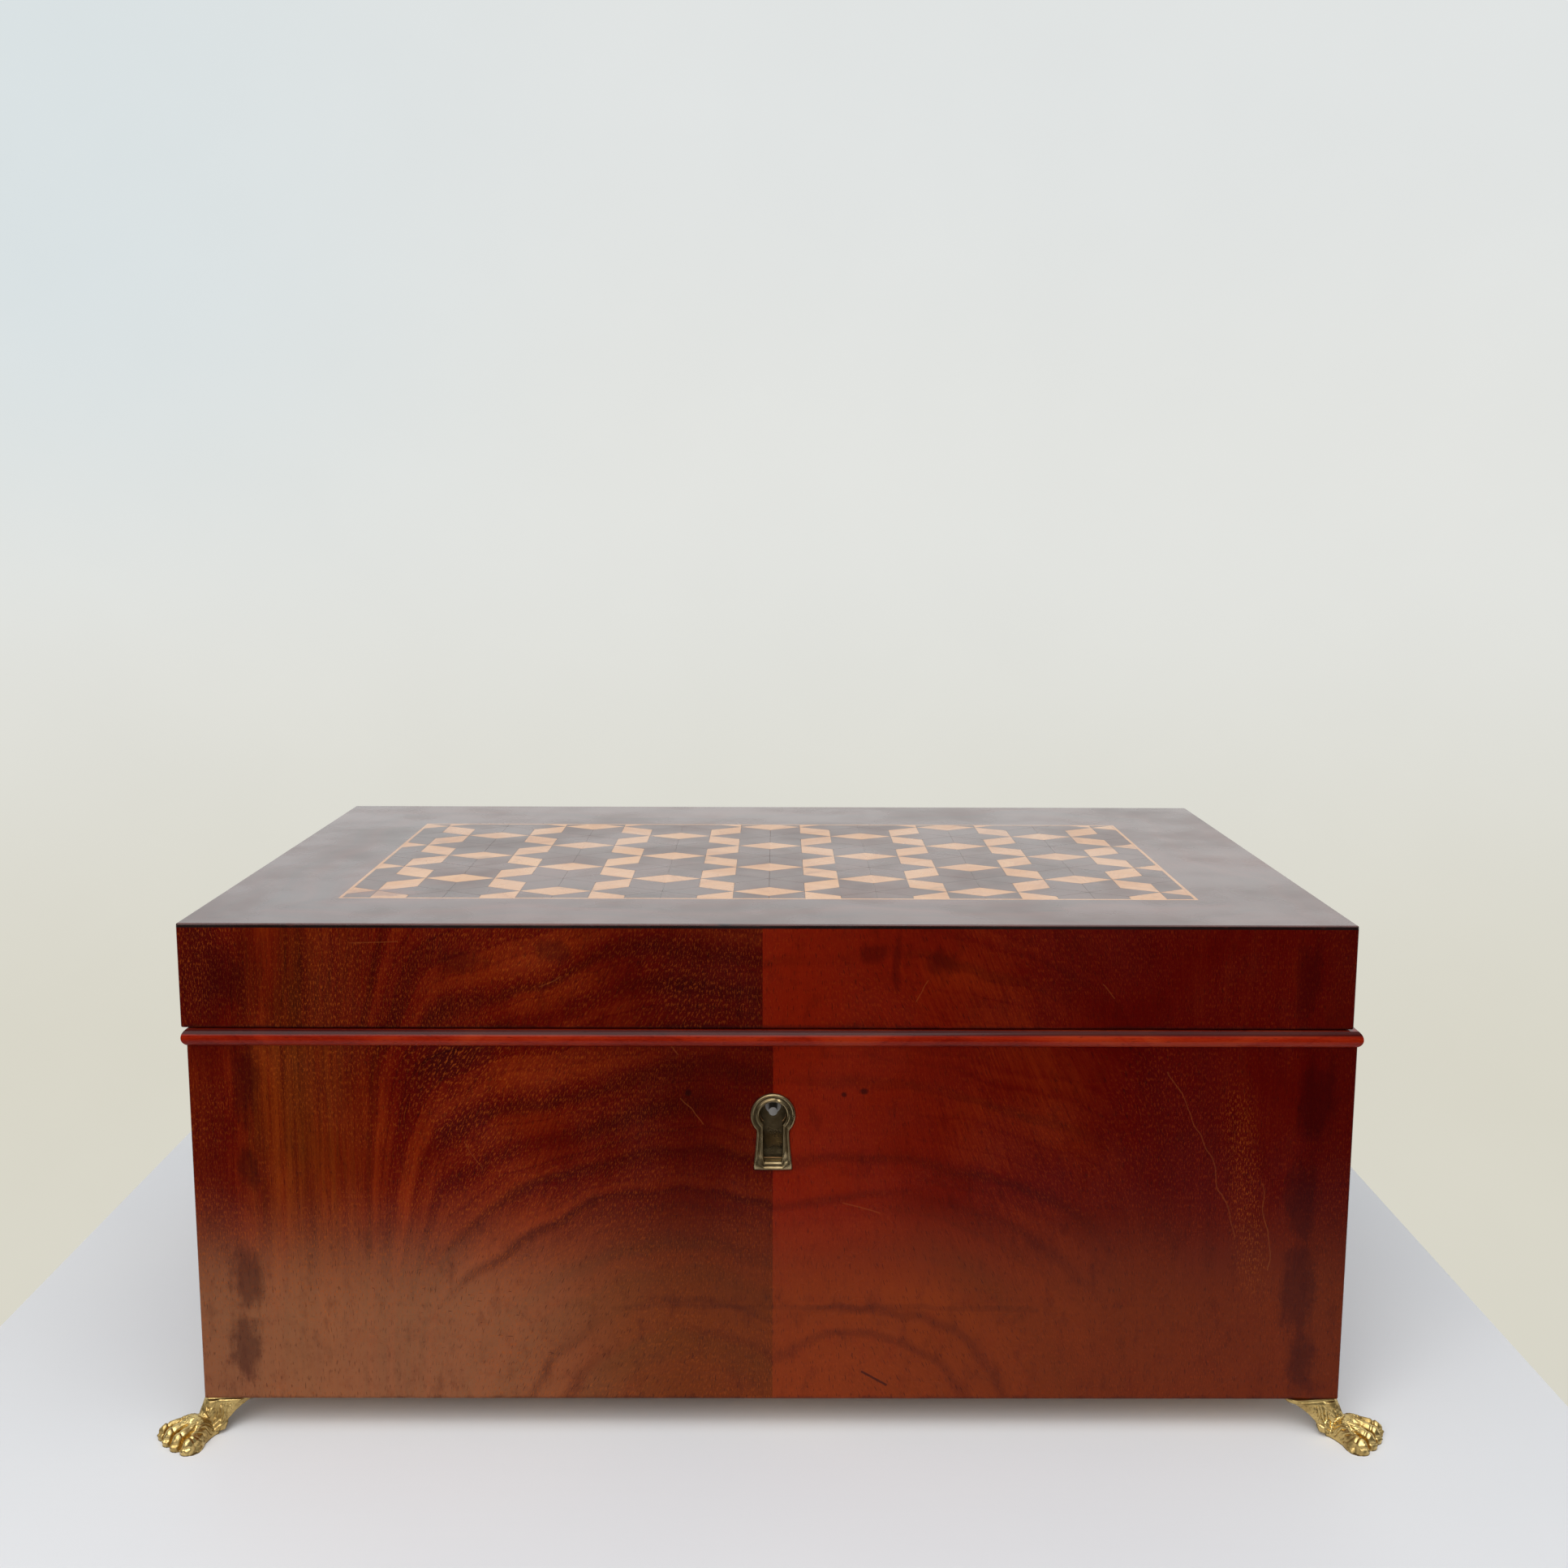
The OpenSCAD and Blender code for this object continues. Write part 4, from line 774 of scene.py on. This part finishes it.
def paw_feet():
    casting = fine_casting()
    moves = [(vert, vert.normal * -carve(vert.co, vert.normal)) for vert in casting.verts]
    for vert, move in moves:
        vert.co += move
        vert.co.z = min(FOOT_H, vert.co.z) if vert.co.z >= SOLE else 0.0
    for node, place in FEET.items():
        shape = casting.copy()
        shape.transform(Matrix.Scale(MM, 4) @ foot_place(*place))
        bmesh.ops.recalc_face_normals(shape, faces=shape.faces)
        replace(node, "paw_" + node, shape)
    casting.free()


paw_feet()


# Escutcheon: two rounded ridges round the keyhole with a groove between them, in millimetres

KEY_Z = UNDERSIDE + 86.2
HEAD_D, NECK_W, TAIL_W, TAIL_DROP = 12.8, 9.3, 11.1, 16.2
HOLE_D, SLOT_W = 7.6, 5.3
RIM = (HEAD_D - HOLE_D) / 2
RIM_DEPTH = 2.4
# Outlines of the rim and of the hole: head, neck and tail widths, and drop of the tail
OUTER = (HEAD_D, NECK_W, TAIL_W, TAIL_DROP)
INNER = (HOLE_D, SLOT_W, SLOT_W, TAIL_DROP - RIM)
# Share of the rim's width from its outer edge, and height over the front
RIDGES = ((0.0, -0.4), (0.0, 0.28), (0.06, 0.62), (0.16, 0.78), (0.26, 0.76), (0.36, 0.52), (0.42, 0.3),
          (0.5, 0.26), (0.56, 0.42), (0.64, 0.68), (0.74, 0.8), (0.84, 0.7), (0.93, 0.42), (1.0, 0.1),
          (1.0, -RIM_DEPTH), (0.0, -RIM_DEPTH))
# The rim is worn where it is higher than this, by up to this much
RIM_WORN_FROM, RIM_WEAR = 0.2, 0.05
# A nick in the ridge next to the hole: its place, the height that it is above, half width and depth
NICK_X, NICK_Z, NICK_W, NICK_DEPTH = 1.2, 4, 0.5, 0.3
# Points round the outline, and how each is found: halvings of a length that starts at this
SPOKES, HALVINGS, FARTHEST = 144, 40, 40.0


def keyhole_reach(angle, head, neck, tail, drop):
    """The point of a keyhole's outline that lies in one direction from its waist."""
    waist = -head * 0.42
    c, s = math.cos(angle), math.sin(angle)

    def inside(reach):
        px, pz = reach * c, waist + reach * s
        if px * px + pz * pz < head * head / 4:
            return True
        if pz > 0 or pz < -drop:
            return False
        t = max(0.0, (-pz - head / 2) / (drop - head / 2))
        return abs(px) < (neck + (tail - neck) * t) / 2

    low, high = 0.0, FARTHEST
    for _ in range(HALVINGS):
        middle = (low + high) / 2
        low, high = (middle, high) if inside(middle) else (low, middle)
    return low * c, waist + low * s


def rim_point(angle, share, height):
    """A point of the rim in metres, worn unevenly and with a nick at its top."""
    outer, inner = keyhole_reach(angle, *OUTER), keyhole_reach(angle, *INNER)
    x, z = (a + (b - a) * share for a, b in zip(outer, inner))
    if height > RIM_WORN_FROM:
        height += RIM_WEAR * noise.noise(Vector((x * 0.5, z * 0.5, 3)))
        if z > NICK_Z and 0.5 < share < 1:
            height -= NICK_DEPTH * groove(x - NICK_X, NICK_W)
    return x * MM, (-HALF_D - height) * MM, (KEY_Z + z) * MM


def escutcheon():
    shape = bmesh.new()
    angles = [2 * math.pi * (k + 0.5) / SPOKES for k in range(SPOKES)]
    rings = [[shape.verts.new(rim_point(angle, share, height)) for angle in angles]
             for share, height in RIDGES]
    for a, b in zip(rings, rings[1:] + rings[:1]):
        for k in range(SPOKES):
            n = (k + 1) % SPOKES
            shape.faces.new((a[k], a[n], b[n], b[k]))
    bmesh.ops.recalc_face_normals(shape, faces=shape.faces)
    replace("escutcheon", "escutcheon_rim", shape)


escutcheon()


# Stage: the top of a white plinth, with the room's walls as the world

PLINTH_LOW, PLINTH_HIGH = Vector((-0.255, -0.251, -0.03)), Vector((0.240, 0.30, 0.0))
# The wall behind the box, from below to above the horizon, and where the light is cool at the upper left
WALL_LOW, WALL_MIDDLE = (0.70, 0.68, 0.585, 1), (0.775, 0.785, 0.755, 1)
WALL_HIGH, WALL_COOL = (0.76, 0.785, 0.78, 1), (0.71, 0.77, 0.785, 1)
# What polish and metal mirror: the wall, a little brighter, and the darker room behind the camera
MIRRORED_WALL = (1.25, 1.25, 1.25, 1)
ROOM_LOW, ROOM_HIGH = (0.03, 0.022, 0.016, 1), (0.2, 0.2, 0.2, 1)
# Soft light from all round: from below, from behind the box and from the camera's side
LIGHT_LOW, LIGHT_BACK, LIGHT_FRONT = (0.1, 0.09, 0.08, 1), (0.22, 0.225, 0.23, 1), (0.48, 0.49, 0.50, 1)
# Area lamps: place, the point it is aimed at, size, watts and colour
LAMPS = {"window": ((-0.4, -1.25, 1.1), (0, 0, 0.05), 1.3, 17.5, (1, 0.985, 0.96)),
         "bounce": ((0.0, -0.75, 0.75), (0, -0.14, 0.0), 0.9, 1.6, (0.86, 0.93, 1)),
         "overhead": ((0.3, -0.55, 1.5), (0, 0, 0.05), 1.2, 5, (0.97, 0.99, 1))}


def white_paint():
    g = Graph("white_paint")
    x, y, z, at = g.place()
    brushing = g.noise(g.vector(x * 0.02, y * 0.6, z), 0.5, 3, 0.6)
    colour = g.mix(g.noise(at, 0.01, 2), srgb(226, 227, 230), srgb(232, 232, 233))
    return g.finish(**{"Base Color": colour, "Roughness": 0.6, "Normal": g.bump(brushing, 0.15, 0.3 * MM)})


def slab(name, low, high, material):
    shape = bmesh.new()
    bmesh.ops.create_cube(shape, size=1)
    bmesh.ops.scale(shape, vec=high - low, verts=shape.verts)
    bmesh.ops.translate(shape, vec=(high + low) / 2, verts=shape.verts)
    mesh = bpy.data.meshes.new(name)
    shape.to_mesh(mesh)
    shape.free()
    mesh.materials.append(material)
    return link(name, mesh)


def room():
    """The world: a plastered wall for the camera, a room for gloss and a pale surround as soft light."""
    world = bpy.data.worlds.new("room")
    bpy.context.scene.world = world
    world.use_nodes = True
    g = Graph("", world.node_tree)
    dx, dy, dz = g.parts(g.out(g.node("ShaderNodeTexCoord"), "Generated"))
    wall = g.mix(g.step(dz, -0.3, 0.02), WALL_LOW, WALL_MIDDLE)
    wall = g.mix(g.step(dz, 0.0, 0.25), wall, WALL_HIGH)
    wall = g.mix(g.step(dx, -0.05, -0.4) * g.step(dz, -0.1, 0.15), wall, WALL_COOL)
    plaster = g.noise(g.vector(dx * 9, dy, dz * 9), 1.0, 4, 0.6)
    wall = g.mix(0.035, wall, g.mix(plaster, (0, 0, 0, 1), (1, 1, 1, 1)))
    behind_camera = g.mix(g.step(dz, -0.1, 0.5), ROOM_LOW, ROOM_HIGH)
    mirrored = g.mix(g.step(dy, -0.25, 0.15), behind_camera, g.mix(1.0, wall, MIRRORED_WALL, "MULTIPLY"))
    sky = g.mix(g.step(dy, 0.5, -0.5), LIGHT_BACK, LIGHT_FRONT)
    around = g.mix(g.step(dz, -0.1, 0.3), LIGHT_LOW, sky)
    path = g.node("ShaderNodeLightPath")
    shown = g.mix(g.out(path, "Is Diffuse Ray"), mirrored, around)
    shown = g.mix(g.out(path, "Is Camera Ray"), shown, wall)
    background = g.node("ShaderNodeBackground", {"Color": shown, "Strength": 1.0})
    output = g.node("ShaderNodeOutputWorld")
    g.links.new(background.outputs[0], output.inputs[0])


plinth = slab("plinth", PLINTH_LOW, PLINTH_HIGH, white_paint())
room()
for name, (at, target, size, watts, colour) in LAMPS.items():
    data = bpy.data.lights.new(name, "AREA")
    data.size, data.energy, data.color = size, watts, colour
    made = link(name, data)
    made.location = at
    made.rotation_euler = (Vector(target) - Vector(at)).to_track_quat("-Z", "Y").to_euler()


# Camera, fitted to the photograph's edges

PITCH, YAW, ROLL = (math.radians(v) for v in (8.556, 0.277, 0.192))
CAMERA_AT = (0.0006, -0.5562, 0.2601)
LENS, SENSOR_W = 38.418, 36

forward = Vector((math.sin(YAW) * math.cos(PITCH), math.cos(YAW) * math.cos(PITCH), -math.sin(PITCH)))
right = Vector((math.cos(YAW), -math.sin(YAW), 0))
up = right.cross(forward)
across = right * math.cos(ROLL) + up * math.sin(ROLL)
upright = up * math.cos(ROLL) - right * math.sin(ROLL)
camera_data = bpy.data.cameras.new("camera")
camera_data.sensor_width = SENSOR_W
camera_data.lens = LENS
camera = link("camera", camera_data)
turn = Matrix((across, upright, -forward)).transposed().to_4x4()
camera.matrix_world = Matrix.Translation(CAMERA_AT) @ turn
bpy.context.scene.camera = camera
bpy.context.scene.view_settings.view_transform = "Standard"
